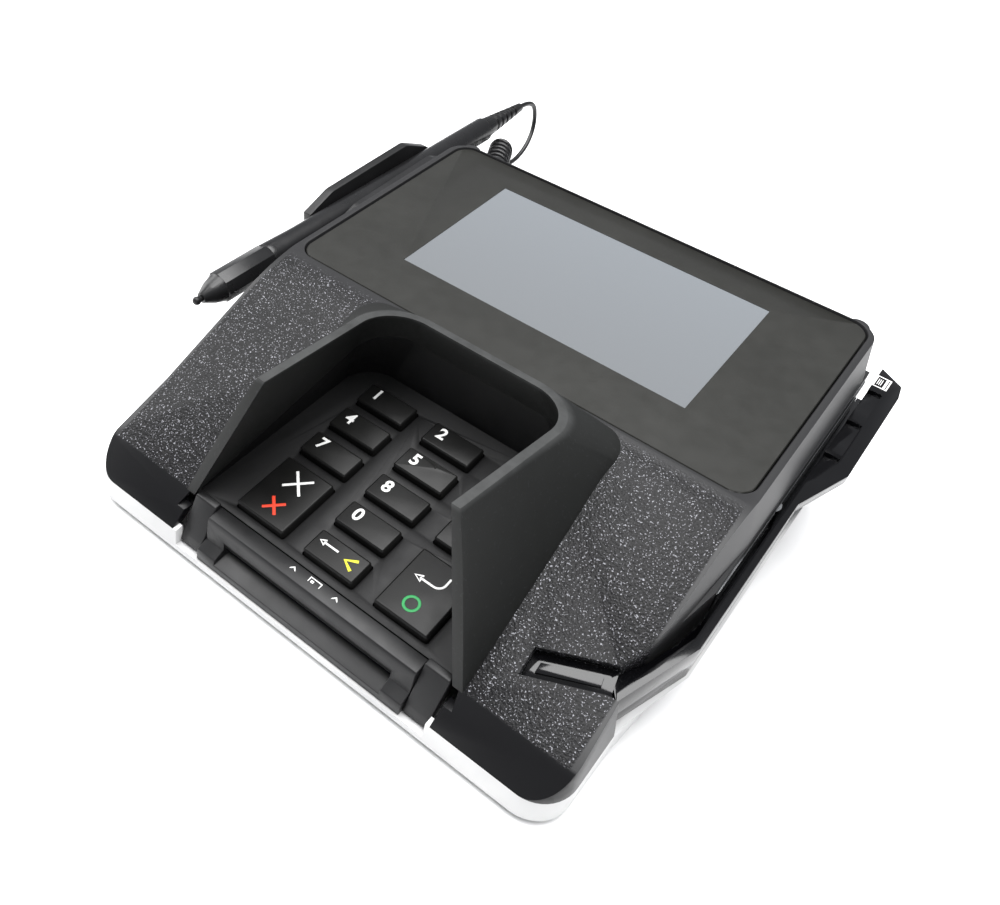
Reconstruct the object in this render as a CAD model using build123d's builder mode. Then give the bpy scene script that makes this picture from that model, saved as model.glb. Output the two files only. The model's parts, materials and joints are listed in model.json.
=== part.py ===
from build123d import *

import math
import os

# Card payment terminal for a shop counter.
# Millimetres, +Z up, +Y to the back, +X to the customer's right.  The origin is the centre of the
# four base holes, on the plane that the rubber feet stand on.

os.makedirs("parts", exist_ok=True)

# ---------------------------------------------------------------- driving dimensions
# Slopes of the three working faces, in degrees above the counter.
DISPLAY_TILT = 9.0
KEYPAD_TILT = 12.15
WING_TILT = 30.1

# The seam between the two housing halves runs parallel to the display.
SEAM_FRONT_HEIGHT = 9.2
BODY_FRONT = -82.3
BODY_BACK = 88.0
HALF_WIDTH_FRONT = 77.3
HALF_WIDTH_BACK = 81.0
FLARE_START = -55.0
FLARE_END = 0.0
SIDE_DRAFT = 8.6
CORNER_FRONT = 10.0
CORNER_BACK = 7.0
WALL = 2.4
FOOT_HEIGHT = 1.2

# Display block.
DISPLAY_FRONT = -6.0
DISPLAY_FRONT_HEIGHT = 52.9
BORDER_STEP = 0.35
PANEL_WIDTH = 147.4
PANEL_DEPTH = 84.6
PANEL_THICK = 2.0
PANEL_CORNER = 5.5
PANEL_GAP = 0.6
SCREEN_WIDTH = 95.0
SCREEN_DEPTH = 53.9
SCREEN_SETBACK = 18.2
GASKET_THICK = 0.6
GASKET_BAND = 5.0
MODULE_MARGIN = 5.5
MODULE_THICK = 4.2

# Wings and skirt.
WING_FRONT = -74.7
WING_FRONT_HEIGHT = 17.6
WING_BLEND = 60.0
BACK_TOP = 82.0

# Keypad.
KEYPAD_FRONT = -73.0
KEYPAD_FRONT_HEIGHT = 17.6
KEY_WIDTH = 16.4
KEY_DEPTH = 8.0
KEY_PITCH_X = 23.4
KEY_PITCH_Y = 11.9
FIRST_KEY_EDGE = 2.66
KEY_RISE = 2.4
KEY_TRAVEL = 1.2
KEY_GAP = 0.35
KEY_FLANGE = 0.9
BEZEL_THICK = 1.6
FLANGE_THICK = 1.0
FLANGE_GAP = 0.3
MEMBRANE_THICK = 0.8
KEYPAD_BOARD_THICK = 1.2
BOARD_THICK = 1.6

# Keypad well and privacy shield.
WELL_HALF_FRONT = 41.6
WELL_HALF_BACK = 44.0
WELL_BACK = -8.0
WELL_CORNER = 9.0
RIM_HEIGHT = 60.0
RIM_HALF_FRONT = 26.4
RIM_HALF_BACK = 30.0
RIM_BACK = -17.0
RIM_CORNER = 12.0
RIM_BAND = 2.4
SHIELD_SINK = 5.0
SHIELD_HALF_FRONT = 48.4
SHIELD_HALF_BACK = 45.9
SHIELD_BACK = -6.2
SHIELD_CORNER = 7.0
SHIELD_FOOT_FRONT = -75.0
SHIELD_PEAK_FRONT = -67.6
LINER_THICK = 1.6

# Chip card slot.
CARD_SLOT_WIDTH = 56.5
CARD_SLOT_HEIGHT = 2.2
TRIM_HALF = 34.6
CLIP_WIDTH = 7.4

# Swipe track on the right side, measured on the seam plane.
SLOT_INNER = 78.8
SLOT_GAP = 1.8
RAIL_WALL = 2.2
RAIL_HEIGHT = 12.6
RAIL_FLOOR = 1.6
RAIL_FRONT = -32.4
RAIL_BACK = 91.0
BULGE_START = 25.0
BULGE_FULL = 44.0
BULGE_END = 85.0
BULGE_CORNER = 90.6
BULGE_BACK = 96.2
BULGE_REACH = 6.6
BULGE_THICK = 3.0
STEP_FIRST = 48.8
STEP_PITCH = 17.1
STEP_WIDTH = 5.6
STEP_DROP = 1.1
LEDGE_THICK = 7.0
LEDGE_LIP = 0.7
LEDGE_UNDERCUT = 4.6
ARM_DEPTH = 4.0
SLOT_WALL = 3.0
HEAD_V = 22.0
HEAD_TRACK = 7.6

# Stylus on the left side.
STYLUS_OUTBOARD = 3.6
STYLUS_TILT = 8.0
STYLUS_DROP = 6.4
STYLUS_TIP_AHEAD = 126.0
STYLUS_RADIUS = 4.4
STYLUS_GRIP_RADIUS = 4.9
STYLUS_CLEAR = 0.35
HOLDER_WALL = 3.0
HOLDER_FRONT = 55.0
HOLDER_BACK = 118.0
HOLDER_BEAK = 123.0
HOLDER_CREST = 7.4

# Tether.
TETHER_DIAMETER = 1.8
COIL_DIAMETER = 9.4

# Fixing pattern in the base, and general fits.
HOLE_SPACING_X = 100.0
HOLE_SPACING_Y = 75.0
INSERT_RADIUS = 2.6
INSERT_BORE = 1.65
INSERT_LENGTH = 6.6
PAD_RECESS = 0.2
FIT = 0.2
EPS = 0.01

# ---------------------------------------------------------------- derived planes and helpers


def rad(angle):
    """Degrees to radians."""
    return math.radians(angle)


def tilted(angle, y, z):
    """A plane that passes through (0, y, z) and climbs to the back by the given angle."""
    return Plane(
        origin=(0, y, z),
        x_dir=(1, 0, 0),
        z_dir=(0, -math.sin(rad(angle)), math.cos(rad(angle))),
    )


SEAM_Z0 = SEAM_FRONT_HEIGHT - BODY_FRONT * math.tan(rad(DISPLAY_TILT))
SEAM = tilted(DISPLAY_TILT, 0, SEAM_Z0)
DISPLAY = tilted(DISPLAY_TILT, DISPLAY_FRONT, DISPLAY_FRONT_HEIGHT)
KEYPAD = tilted(KEYPAD_TILT, KEYPAD_FRONT, KEYPAD_FRONT_HEIGHT)
WING = tilted(WING_TILT, WING_FRONT, WING_FRONT_HEIGHT)
SEAM_COS = math.cos(rad(DISPLAY_TILT))
SEAM_SIN = math.sin(rad(DISPLAY_TILT))


def seam_height(y):
    """Height of the housing seam above the counter at a given depth."""
    return SEAM_Z0 + y * math.tan(rad(DISPLAY_TILT))


def display_height(y):
    """Height of the smooth border round the display at a given depth."""
    return DISPLAY_FRONT_HEIGHT + BORDER_STEP + (y - DISPLAY_FRONT) * math.tan(rad(DISPLAY_TILT))


def keypad_height(y):
    """Height of the keypad face at a given depth."""
    return KEYPAD_FRONT_HEIGHT + (y - KEYPAD_FRONT) * math.tan(rad(KEYPAD_TILT))


# Where the wing slope would meet the display slope if there were no blend between them.
WING_TAN = math.tan(rad(WING_TILT))
DISPLAY_TAN = math.tan(rad(DISPLAY_TILT))
BEND_Y = (
    display_height(0) - WING_FRONT_HEIGHT + WING_FRONT * WING_TAN
) / (WING_TAN - DISPLAY_TAN)
BEND_Z = display_height(BEND_Y)
DISPLAY_W = (DISPLAY_FRONT_HEIGHT - SEAM_Z0) * SEAM_COS - DISPLAY_FRONT * SEAM_SIN


def side_outline(drop):
    """Side view of the upper housing, closed below the seam by the given drop."""
    skirt_slope = (WING_FRONT_HEIGHT - SEAM_FRONT_HEIGHT) / (WING_FRONT - BODY_FRONT)
    with BuildSketch() as outline:
        with BuildLine():
            Polyline(
                (BODY_FRONT - drop / skirt_slope, SEAM_FRONT_HEIGHT - drop),
                (WING_FRONT, WING_FRONT_HEIGHT),
                (BEND_Y, BEND_Z),
                (BACK_TOP, display_height(BACK_TOP)),
                (BODY_BACK - 1.5, display_height(BACK_TOP) - 4.0),
                (BODY_BACK, seam_height(BODY_BACK) - drop),
                close=True,
            )
        make_face()
        bend = outline.vertices().sort_by_distance((BEND_Y, BEND_Z, 0))[0]
        fillet(bend, WING_BLEND)
    return outline.sketch


def plan_outline(grow, run):
    """Plan of the housing.  run shortens the depth where the sketch plane isn't the seam."""
    front = BODY_FRONT / SEAM_COS * run - grow
    back = BODY_BACK / SEAM_COS * run + grow
    narrow = HALF_WIDTH_FRONT + grow
    wide = HALF_WIDTH_BACK + grow
    with BuildSketch() as outline:
        with BuildLine():
            Polyline(
                (-narrow, front),
                (narrow, front),
                (narrow, FLARE_START * run),
                (wide, FLARE_END * run),
                (wide, back),
                (-wide, back),
                (-wide, FLARE_END * run),
                (-narrow, FLARE_START * run),
                close=True,
            )
        make_face()
        fillet(outline.vertices().group_by(Axis.Y)[0], CORNER_FRONT)
        fillet(outline.vertices().group_by(Axis.Y)[-1], CORNER_BACK)
    return outline.sketch


DRAFT_HEIGHT = 60.0
DRAFT_LEAN = DRAFT_HEIGHT * math.tan(rad(SIDE_DRAFT))


# Outer shape of the upper housing with nothing cut from it: other pieces are trimmed to it.
with BuildPart() as upper_envelope:
    with BuildSketch(Plane.YZ):
        add(side_outline(0))
    extrude(amount=HALF_WIDTH_BACK + 5, both=True)
    with BuildSketch(SEAM.offset(-EPS)):
        add(plan_outline(0, 1.0))
    with BuildSketch(SEAM.offset(DRAFT_HEIGHT)):
        add(plan_outline(-DRAFT_LEAN, 1.0))
    loft(ruled=True, mode=Mode.INTERSECT)

# Inner shape of the same housing, one wall thickness in, open below the seam.
with BuildPart() as upper_cavity:
    with BuildSketch(Plane.YZ):
        add(side_outline(12))
        offset(amount=-WALL, kind=Kind.INTERSECTION)
    extrude(amount=HALF_WIDTH_BACK + 5, both=True)
    with BuildSketch(SEAM.offset(-8)):
        add(plan_outline(-WALL, 1.0))
    with BuildSketch(SEAM.offset(DRAFT_HEIGHT)):
        add(plan_outline(-WALL - DRAFT_LEAN, 1.0))
    loft(ruled=True, mode=Mode.INTERSECT)


def well_outline(half_front, half_back, front, back, corner):
    """U-shaped plan of the keypad well: straight sides and two rounded back corners."""
    with BuildSketch() as outline:
        with BuildLine():
            Polyline(
                (-half_front, front),
                (half_front, front),
                (half_back, back),
                (-half_back, back),
                close=True,
            )
        make_face()
        fillet(outline.vertices().group_by(Axis.Y)[-1], corner)
    return outline.sketch


# Clear space over the keys: wide at the keypad face, narrow at the rim of the shield.
WELL_BASE_Z = KEYPAD_FRONT_HEIGHT - 4.0


def well_solid(grow):
    """The keypad well, grown outward by a wall thickness."""
    front = KEYPAD_FRONT - 20.0
    with BuildPart() as well:
        with BuildSketch(Plane.XY.offset(WELL_BASE_Z)):
            add(
                well_outline(
                    WELL_HALF_FRONT + 2.0 + grow,
                    WELL_HALF_BACK + 3.0 + grow,
                    front,
                    WELL_BACK + 3.4 + grow,
                    WELL_CORNER + grow,
                )
            )
        with BuildSketch(Plane.XY.offset(RIM_HEIGHT)):
            add(
                well_outline(
                    RIM_HALF_FRONT + grow,
                    RIM_HALF_BACK + grow,
                    front,
                    RIM_BACK + grow,
                    RIM_CORNER + grow,
                )
            )
        loft(ruled=True)
    return well.part


well_space = well_solid(0)
well_lined = well_solid(LINER_THICK)
well_opening = well_solid(LINER_THICK + FIT)

# ---------------------------------------------------------------- upper housing
SLOT_BEND = [
    (SLOT_INNER, -18.0),
    (SLOT_INNER - 4.0, -41.0),
    (SLOT_INNER - 8.0, -52.2),
]
RAIL_TOE = (SLOT_INNER - 4.2, -57.4)
ARM_PLAN = [
    (SLOT_INNER - 8.0, -52.9),
    (SLOT_INNER - 25.6, -59.2),
    (SLOT_INNER - 25.2, -65.6),
    (SLOT_INNER - 6.4, -59.0),
    (SLOT_INNER - 3.4, -58.6),
    (SLOT_INNER - 3.4, -54.0),
]
SCREEN_MIDDLE = SCREEN_SETBACK + SCREEN_DEPTH / 2
MODULE_WIDTH = SCREEN_WIDTH + 2 * MODULE_MARGIN
MODULE_DEPTH = SCREEN_DEPTH + 2 * MODULE_MARGIN


def wing_point(x, y):
    """A place on the wing face, in the wing plane's own coordinates."""
    return (x, (y - WING_FRONT) / math.cos(rad(WING_TILT)))


CASE_SCREWS = [(-66, -48), (66, -48), (-70, 76), (70, 76)]
BOSS_RADIUS = 3.4
BOSS_MEETING_Z = 6.2
SCREW_RADIUS = 1.4
SCREW_HEAD_RADIUS = 2.6
SCREW_HEAD_HEIGHT = 1.8
SCREW_LENGTH = 10.0

# Columns that hang from the upper housing and take the case screws.
with BuildPart() as screw_columns:
    with BuildSketch(Plane.XY.offset(BOSS_MEETING_Z)):
        with Locations(*CASE_SCREWS):
            Circle(BOSS_RADIUS)
    extrude(amount=80)
    with BuildSketch(Plane.YZ):
        add(side_outline(30))
    extrude(amount=HALF_WIDTH_BACK, both=True, mode=Mode.INTERSECT)
    with BuildSketch(Plane.XY.offset(BOSS_MEETING_Z)):
        with Locations(*CASE_SCREWS):
            Circle(SCREW_RADIUS)
    extrude(amount=SCREW_LENGTH, mode=Mode.SUBTRACT)

with BuildPart() as top_housing:
    add(upper_envelope.part)
    add(upper_cavity.part, mode=Mode.SUBTRACT)
    add(screw_columns.part)
    # Inner wall behind the swipe slot.
    with BuildSketch(SEAM):
        with BuildLine():
            Polyline(
                (SLOT_INNER, BODY_BACK - 2),
                *SLOT_BEND,
                (SLOT_INNER - 10.2, -52.2),
                (SLOT_INNER - 6.4, -40.0),
                (SLOT_INNER - SLOT_WALL, -17.0),
                (SLOT_INNER - SLOT_WALL, BODY_BACK - 2),
                close=True,
            )
        make_face()
    extrude(amount=16)
    # Thick pad under the arm pocket.
    with BuildSketch(WING.offset(-1)):
        with BuildLine():
            Polyline(
                wing_point(SLOT_INNER - 8.0, -51.0),
                wing_point(SLOT_INNER - 27.6, -57.5),
                wing_point(SLOT_INNER - 27.6, -68.0),
                wing_point(SLOT_INNER - 4.8, -60.5),
                close=True,
            )
        make_face()
    extrude(amount=-(ARM_DEPTH + 1.4))
    # Space for the rail beside the straight part of the slot.
    with BuildSketch(SEAM.offset(-1)):
        with BuildLine():
            Polyline(
                (SLOT_INNER, BODY_BACK + 12),
                (SLOT_INNER, -18.0),
                (95, -18.0),
                (95, BODY_BACK + 12),
                close=True,
            )
        make_face()
    extrude(amount=RAIL_HEIGHT + 1, mode=Mode.SUBTRACT)
    # Open notch where the rail turns across the wing.
    with BuildSketch(SEAM.offset(-1)):
        with BuildLine():
            Polyline(
                *SLOT_BEND,
                RAIL_TOE,
                (95, RAIL_TOE[1]),
                (95, -18.0),
                close=True,
            )
        make_face()
    extrude(amount=50, mode=Mode.SUBTRACT)
    # Window in the slot wall for the reading head.
    with BuildSketch(SEAM.offset(HEAD_TRACK - 4.0)):
        with Locations((SLOT_INNER, HEAD_V)):
            Rectangle(12, 10)
    extrude(amount=8.0, mode=Mode.SUBTRACT)
    # Pocket for the arm of the track.
    with BuildSketch(WING.offset(2)):
        with BuildLine():
            Polyline(*[wing_point(x, y) for x, y in ARM_PLAN], close=True)
        make_face()
    extrude(amount=-(ARM_DEPTH + 2), mode=Mode.SUBTRACT)
    # Pocket for the display panel, then the window for the display module.
    with BuildSketch(DISPLAY.offset(-PANEL_THICK - GASKET_THICK)):
        with Locations((0, PANEL_DEPTH / 2)):
            RectangleRounded(
                PANEL_WIDTH + 2 * PANEL_GAP,
                PANEL_DEPTH + 2 * PANEL_GAP,
                PANEL_CORNER + PANEL_GAP,
            )
    extrude(amount=8, mode=Mode.SUBTRACT)
    with BuildSketch(DISPLAY.offset(-PANEL_THICK - GASKET_THICK)):
        with Locations((0, PANEL_DEPTH / 2)):
            Rectangle(PANEL_WIDTH - 2, PANEL_DEPTH - 4)
    extrude(amount=-1.6)
    with BuildSketch(DISPLAY):
        with Locations((0, SCREEN_MIDDLE)):
            Rectangle(MODULE_WIDTH + 2 * FIT, MODULE_DEPTH + 2 * FIT)
    extrude(amount=-12, mode=Mode.SUBTRACT)
    # Keypad well, open at the front for the card slot trim.
    add(well_opening, mode=Mode.SUBTRACT)
    with Locations((0, BODY_FRONT, 10)):
        Box(
            2 * (WELL_HALF_FRONT + LINER_THICK + FIT),
            2 * (KEYPAD_FRONT - BODY_FRONT) + 4,
            40,
            mode=Mode.SUBTRACT,
        )


def finish(builder, name):
    """Label a finished piece, write its STEP file and report its size."""
    builder.part.label = name
    export_step(builder.part, f"parts/{name}.step")
    solids = len(builder.part.solids())
    print(f"{name}: {builder.part.volume:.0f} mm3, {solids} solid(s)")


finish(top_housing, "top_housing")

# ---------------------------------------------------------------- lower housing
BASE_FLOOR = 2.2
RAIL_OUTER = SLOT_INNER + SLOT_GAP + RAIL_WALL
BULGE_OUTER = RAIL_OUTER + BULGE_REACH
BOARD_TOP_Z = 11.0
BOARD_WIDTH = 118.0
BOARD_DEPTH = 88.0
BOARD_Y = 30.0
BOARD_SCREWS_X = 50.0
BOARD_SCREWS_Y = 37.0
PORT_WIDTH = 16.0
PORT_HEIGHT = 10.0
PORT_X = 18.0
DOOR_WIDTH = 34.0
DOOR_DEPTH = 22.0
DOOR_Y = 20.0
DOOR_THICK = 1.4
FOOT_RADIUS = 6.0
FOOT_X = 60.0
FOOT_Y = 66.0


def ledge_outline(lip, inner):
    """Plan of the shelf under the swipe rail, on the seam plane."""
    with BuildSketch() as outline:
        with BuildLine():
            Polyline(
                (inner, RAIL_TOE[1] + 1.0),
                (RAIL_TOE[0] + lip + 1.6, RAIL_TOE[1] + 1.0),
                (RAIL_OUTER + lip, RAIL_FRONT),
                (RAIL_OUTER + lip, RAIL_BACK - 3.0),
                (RAIL_OUTER + lip - 3.0, RAIL_BACK),
                (inner, RAIL_BACK),
                close=True,
            )
        make_face()
    return outline.sketch


with BuildPart() as bottom_housing:
    with BuildSketch(Plane.XY.offset(FOOT_HEIGHT)):
        add(plan_outline(0, SEAM_COS))
    extrude(amount=60)
    chamfer(faces().sort_by(Axis.Z)[0].edges(), 0.9)
    split(bisect_by=SEAM, keep=Keep.BOTTOM)
    # Shelf for the swipe rail, undercut so that it fades into the side.
    with BuildSketch(SEAM.offset(-LEDGE_THICK)):
        add(ledge_outline(LEDGE_LIP - LEDGE_UNDERCUT, HALF_WIDTH_FRONT - 6))
    with BuildSketch(SEAM):
        add(ledge_outline(LEDGE_LIP, HALF_WIDTH_FRONT - 6))
    loft(ruled=True)
    # Hollow inside.
    with BuildSketch(Plane.XY.offset(FOOT_HEIGHT + BASE_FLOOR)):
        add(plan_outline(-WALL, SEAM_COS))
    extrude(amount=60, mode=Mode.SUBTRACT)
    # Bosses for the case screws and the main board.
    with BuildSketch(Plane.XY.offset(FOOT_HEIGHT)):
        with Locations(*CASE_SCREWS):
            Circle(BOSS_RADIUS)
    extrude(amount=BOSS_MEETING_Z - FOOT_HEIGHT)
    with BuildSketch(Plane.XY.offset(FOOT_HEIGHT)):
        with Locations((0, BOARD_Y)):
            with GridLocations(2 * BOARD_SCREWS_X, 2 * BOARD_SCREWS_Y, 2, 2):
                Circle(BOSS_RADIUS)
    extrude(amount=BOARD_TOP_Z - BOARD_THICK - FOOT_HEIGHT)
    with BuildSketch(Plane.XY.offset(PAD_RECESS)):
        with GridLocations(HOLE_SPACING_X, HOLE_SPACING_Y, 2, 2):
            Circle(INSERT_RADIUS + 1.6)
    extrude(amount=INSERT_LENGTH + 0.4)
    split(bisect_by=SEAM, keep=Keep.BOTTOM)
    # Counterbored holes for the case screws.
    with BuildSketch(Plane.XY):
        with Locations(*CASE_SCREWS):
            Circle(SCREW_RADIUS + FIT)
    extrude(amount=80, mode=Mode.SUBTRACT)
    with BuildSketch(Plane.XY):
        with Locations(*CASE_SCREWS):
            Circle(SCREW_HEAD_RADIUS + FIT)
    extrude(amount=FOOT_HEIGHT + 2.0, mode=Mode.SUBTRACT)
    # Pilot holes for the board screws.
    with BuildSketch(Plane.XY.offset(FOOT_HEIGHT + BASE_FLOOR)):
        with Locations((0, BOARD_Y)):
            with GridLocations(2 * BOARD_SCREWS_X, 2 * BOARD_SCREWS_Y, 2, 2):
                Circle(SCREW_RADIUS)
    extrude(amount=30, mode=Mode.SUBTRACT)
    # Four threaded fixing points.
    with BuildSketch(Plane.XY):
        with GridLocations(HOLE_SPACING_X, HOLE_SPACING_Y, 2, 2):
            Circle(INSERT_RADIUS)
    extrude(amount=12, mode=Mode.SUBTRACT)
    # Cable port in the back wall.
    with BuildSketch(Plane.XZ.offset(-BODY_BACK - 2)):
        with Locations((PORT_X, BOARD_TOP_Z + PORT_HEIGHT / 2 + 0.6)):
            RectangleRounded(PORT_WIDTH, PORT_HEIGHT, 1.0)
    extrude(amount=8, mode=Mode.SUBTRACT)
    # Service door seat in the floor.
    with BuildSketch(Plane.XY):
        with Locations((0, DOOR_Y)):
            RectangleRounded(DOOR_WIDTH, DOOR_DEPTH, 2.0)
    extrude(amount=FOOT_HEIGHT + DOOR_THICK, mode=Mode.SUBTRACT)
    with BuildSketch(Plane.XY):
        with Locations((0, DOOR_Y)):
            RectangleRounded(DOOR_WIDTH - 5, DOOR_DEPTH - 5, 1.5)
    extrude(amount=FOOT_HEIGHT + BASE_FLOOR + 1, mode=Mode.SUBTRACT)
    # Front is lowered between the clips to make room for the card slot trim.
    with Locations((0, BODY_FRONT + 2.4, SEAM_FRONT_HEIGHT)):
        Box(2 * (TRIM_HALF + CLIP_WIDTH + FIT), 18, 10.4, mode=Mode.SUBTRACT)
finish(bottom_housing, "bottom_housing")

with BuildPart() as rubber_feet:
    with BuildSketch(Plane.XY):
        with GridLocations(2 * FOOT_X, 2 * FOOT_Y, 2, 2):
            Circle(FOOT_RADIUS)
    extrude(amount=FOOT_HEIGHT)
    chamfer(faces().group_by(Axis.Z)[0].edges(), 0.3)
finish(rubber_feet, "rubber_feet")

with BuildPart() as base_inserts:
    with BuildSketch(Plane.XY.offset(PAD_RECESS)):
        with GridLocations(HOLE_SPACING_X, HOLE_SPACING_Y, 2, 2):
            Circle(INSERT_RADIUS)
            Circle(INSERT_BORE, mode=Mode.SUBTRACT)
    extrude(amount=INSERT_LENGTH)
finish(base_inserts, "base_inserts")

with BuildPart() as service_door:
    with BuildSketch(Plane.XY.offset(FOOT_HEIGHT + 0.1)):
        with Locations((0, DOOR_Y)):
            RectangleRounded(DOOR_WIDTH - 2 * FIT, DOOR_DEPTH - 2 * FIT, 1.8)
    extrude(amount=DOOR_THICK - 0.1)
    with BuildSketch(Plane.XY.offset(FOOT_HEIGHT)):
        with Locations((0, DOOR_Y)):
            RectangleRounded(16, 2.0, 0.9)
    extrude(amount=0.5, mode=Mode.SUBTRACT)
finish(service_door, "service_door")

with BuildPart() as case_screws:
    with BuildSketch(Plane.XY.offset(FOOT_HEIGHT + 0.1)):
        with Locations(*CASE_SCREWS):
            Circle(SCREW_HEAD_RADIUS)
    extrude(amount=SCREW_HEAD_HEIGHT)
    with BuildSketch(Plane.XY.offset(FOOT_HEIGHT + 0.1)):
        with Locations(*CASE_SCREWS):
            Circle(SCREW_RADIUS)
    extrude(amount=SCREW_LENGTH)
    with BuildSketch(Plane.XY.offset(FOOT_HEIGHT)):
        with Locations(*CASE_SCREWS):
            RegularPolygon(1.3, 6)
    extrude(amount=1.2, mode=Mode.SUBTRACT)
finish(case_screws, "case_screws")

# ---------------------------------------------------------------- display block
with BuildPart() as lens_panel:
    with BuildSketch(DISPLAY.offset(-PANEL_THICK)):
        with Locations((0, PANEL_DEPTH / 2)):
            RectangleRounded(PANEL_WIDTH, PANEL_DEPTH, PANEL_CORNER)
    extrude(amount=PANEL_THICK)
    chamfer(faces().sort_by(Axis.Z)[-1].edges(), 0.25)
finish(lens_panel, "lens_panel")

with BuildPart() as lens_gasket:
    with BuildSketch(DISPLAY.offset(-PANEL_THICK - GASKET_THICK)):
        with Locations((0, PANEL_DEPTH / 2)):
            RectangleRounded(PANEL_WIDTH - 1, PANEL_DEPTH - 1, PANEL_CORNER)
        with Locations((0, SCREEN_MIDDLE)):
            Rectangle(
                MODULE_WIDTH + 2 * FIT + 1,
                MODULE_DEPTH + 2 * FIT + 1,
                mode=Mode.SUBTRACT,
            )
    extrude(amount=GASKET_THICK)
finish(lens_gasket, "lens_gasket")

with BuildPart() as lcd_module:
    with BuildSketch(DISPLAY.offset(-PANEL_THICK - 0.1)):
        with Locations((0, SCREEN_MIDDLE)):
            Rectangle(MODULE_WIDTH, MODULE_DEPTH)
    extrude(amount=-MODULE_THICK)
finish(lcd_module, "lcd_module")

BRACKET_TOP = -PANEL_THICK - 0.1 - MODULE_THICK
BRACKET_THICK = 0.8
with BuildPart() as lcd_bracket:
    with BuildSketch(DISPLAY.offset(BRACKET_TOP)):
        with Locations((0, SCREEN_MIDDLE)):
            Rectangle(MODULE_WIDTH + 8, MODULE_DEPTH - 2)
        with Locations((0, SCREEN_MIDDLE)):
            with GridLocations(46, 0, 2, 1):
                Rectangle(34, 38, mode=Mode.SUBTRACT)
    extrude(amount=-BRACKET_THICK)
    with BuildSketch(DISPLAY.offset(BRACKET_TOP)):
        with Locations((0, SCREEN_MIDDLE)):
            with GridLocations(MODULE_WIDTH + 6, 30, 2, 2):
                Rectangle(2, 8)
    extrude(amount=BRACKET_TOP * -1 - PANEL_THICK - GASKET_THICK - 1.7)
finish(lcd_bracket, "lcd_bracket")

# ---------------------------------------------------------------- keypad
KEY_ROWS = [FIRST_KEY_EDGE + KEY_DEPTH / 2 + KEY_PITCH_Y * row for row in range(5)]
BIG_KEY_DEPTH = KEY_DEPTH + KEY_PITCH_Y
BIG_KEY_MIDDLE = (KEY_ROWS[0] + KEY_ROWS[1]) / 2
KEYS = {
    "key_cancel": (-KEY_PITCH_X, BIG_KEY_MIDDLE, BIG_KEY_DEPTH),
    "key_clear": (0, KEY_ROWS[0], KEY_DEPTH),
    "key_enter": (KEY_PITCH_X, BIG_KEY_MIDDLE, BIG_KEY_DEPTH),
    "key_0": (0, KEY_ROWS[1], KEY_DEPTH),
}
for digit in range(1, 10):
    column = (digit - 1) % 3 - 1
    row = 4 - (digit - 1) // 3
    KEYS[f"key_{digit}"] = (column * KEY_PITCH_X, KEY_ROWS[row], KEY_DEPTH)
KEY_BOTTOM = -(BEZEL_THICK + FLANGE_GAP + FLANGE_THICK)
MEMBRANE_TOP = KEY_BOTTOM - KEY_TRAVEL - KEY_GAP
KEYPAD_BOARD_TOP = MEMBRANE_TOP - MEMBRANE_THICK
WELL_FLOOR_DEPTH = (WELL_BACK - KEYPAD_FRONT) / math.cos(rad(KEYPAD_TILT))

# Floor plate of the keypad well.
with BuildPart() as floor_plate:
    with BuildSketch(KEYPAD):
        with Locations((0, WELL_FLOOR_DEPTH / 2)):
            Rectangle(120, WELL_FLOOR_DEPTH + 20)
    extrude(amount=-BEZEL_THICK)
    add(well_lined, mode=Mode.INTERSECT)

with BuildPart() as keypad_bezel:
    # Walls of the well up to the wing surface.
    add(well_lined)
    add(well_space, mode=Mode.SUBTRACT)
    add(floor_plate.part)
    # Everything under the plate and in front of it goes.
    with BuildSketch(KEYPAD.offset(-BEZEL_THICK)):
        Rectangle(200, 300)
    extrude(amount=-60, mode=Mode.SUBTRACT)
    with Locations((0, KEYPAD_FRONT - 30, 20)):
        Box(200, 60, 200, mode=Mode.SUBTRACT)
    add(upper_envelope.part, mode=Mode.INTERSECT)
    for x, along, depth in KEYS.values():
        with BuildSketch(KEYPAD.offset(1)):
            with Locations((x, along)):
                RectangleRounded(KEY_WIDTH + 2 * KEY_GAP, depth + 2 * KEY_GAP, 0.8)
        extrude(amount=-BEZEL_THICK - 2, mode=Mode.SUBTRACT)
finish(keypad_bezel, "keypad_bezel")

for name, (x, along, depth) in KEYS.items():
    with BuildPart() as key:
        with BuildSketch(KEYPAD.offset(KEY_BOTTOM)):
            with Locations((x, along)):
                RectangleRounded(KEY_WIDTH, depth, 0.7)
        extrude(amount=KEY_RISE - KEY_BOTTOM)
        chamfer(faces().sort_by(Axis.Z)[-1].edges(), 0.45)
        with BuildSketch(KEYPAD.offset(KEY_BOTTOM)):
            with Locations((x, along)):
                Rectangle(KEY_WIDTH + 2 * KEY_FLANGE, depth + 2 * KEY_FLANGE)
        extrude(amount=FLANGE_THICK)
        if name == "key_5":
            with Locations(KEYPAD.offset(KEY_RISE) * Pos(x + 1.6, along + 2.2, 0)):
                Sphere(0.35)
    finish(key, name)

with BuildPart() as keypad_membrane:
    with BuildSketch(KEYPAD.offset(MEMBRANE_TOP)):
        with Locations((0, KEY_ROWS[2])):
            RectangleRounded(78, 59, 2)
    extrude(amount=-MEMBRANE_THICK)
finish(keypad_membrane, "keypad_membrane")

with BuildPart() as keypad_board:
    with BuildSketch(KEYPAD.offset(KEYPAD_BOARD_TOP)):
        with Locations((0, KEY_ROWS[2])):
            RectangleRounded(80, 60, 2)
    extrude(amount=-KEYPAD_BOARD_THICK)
finish(keypad_board, "keypad_board")

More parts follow.
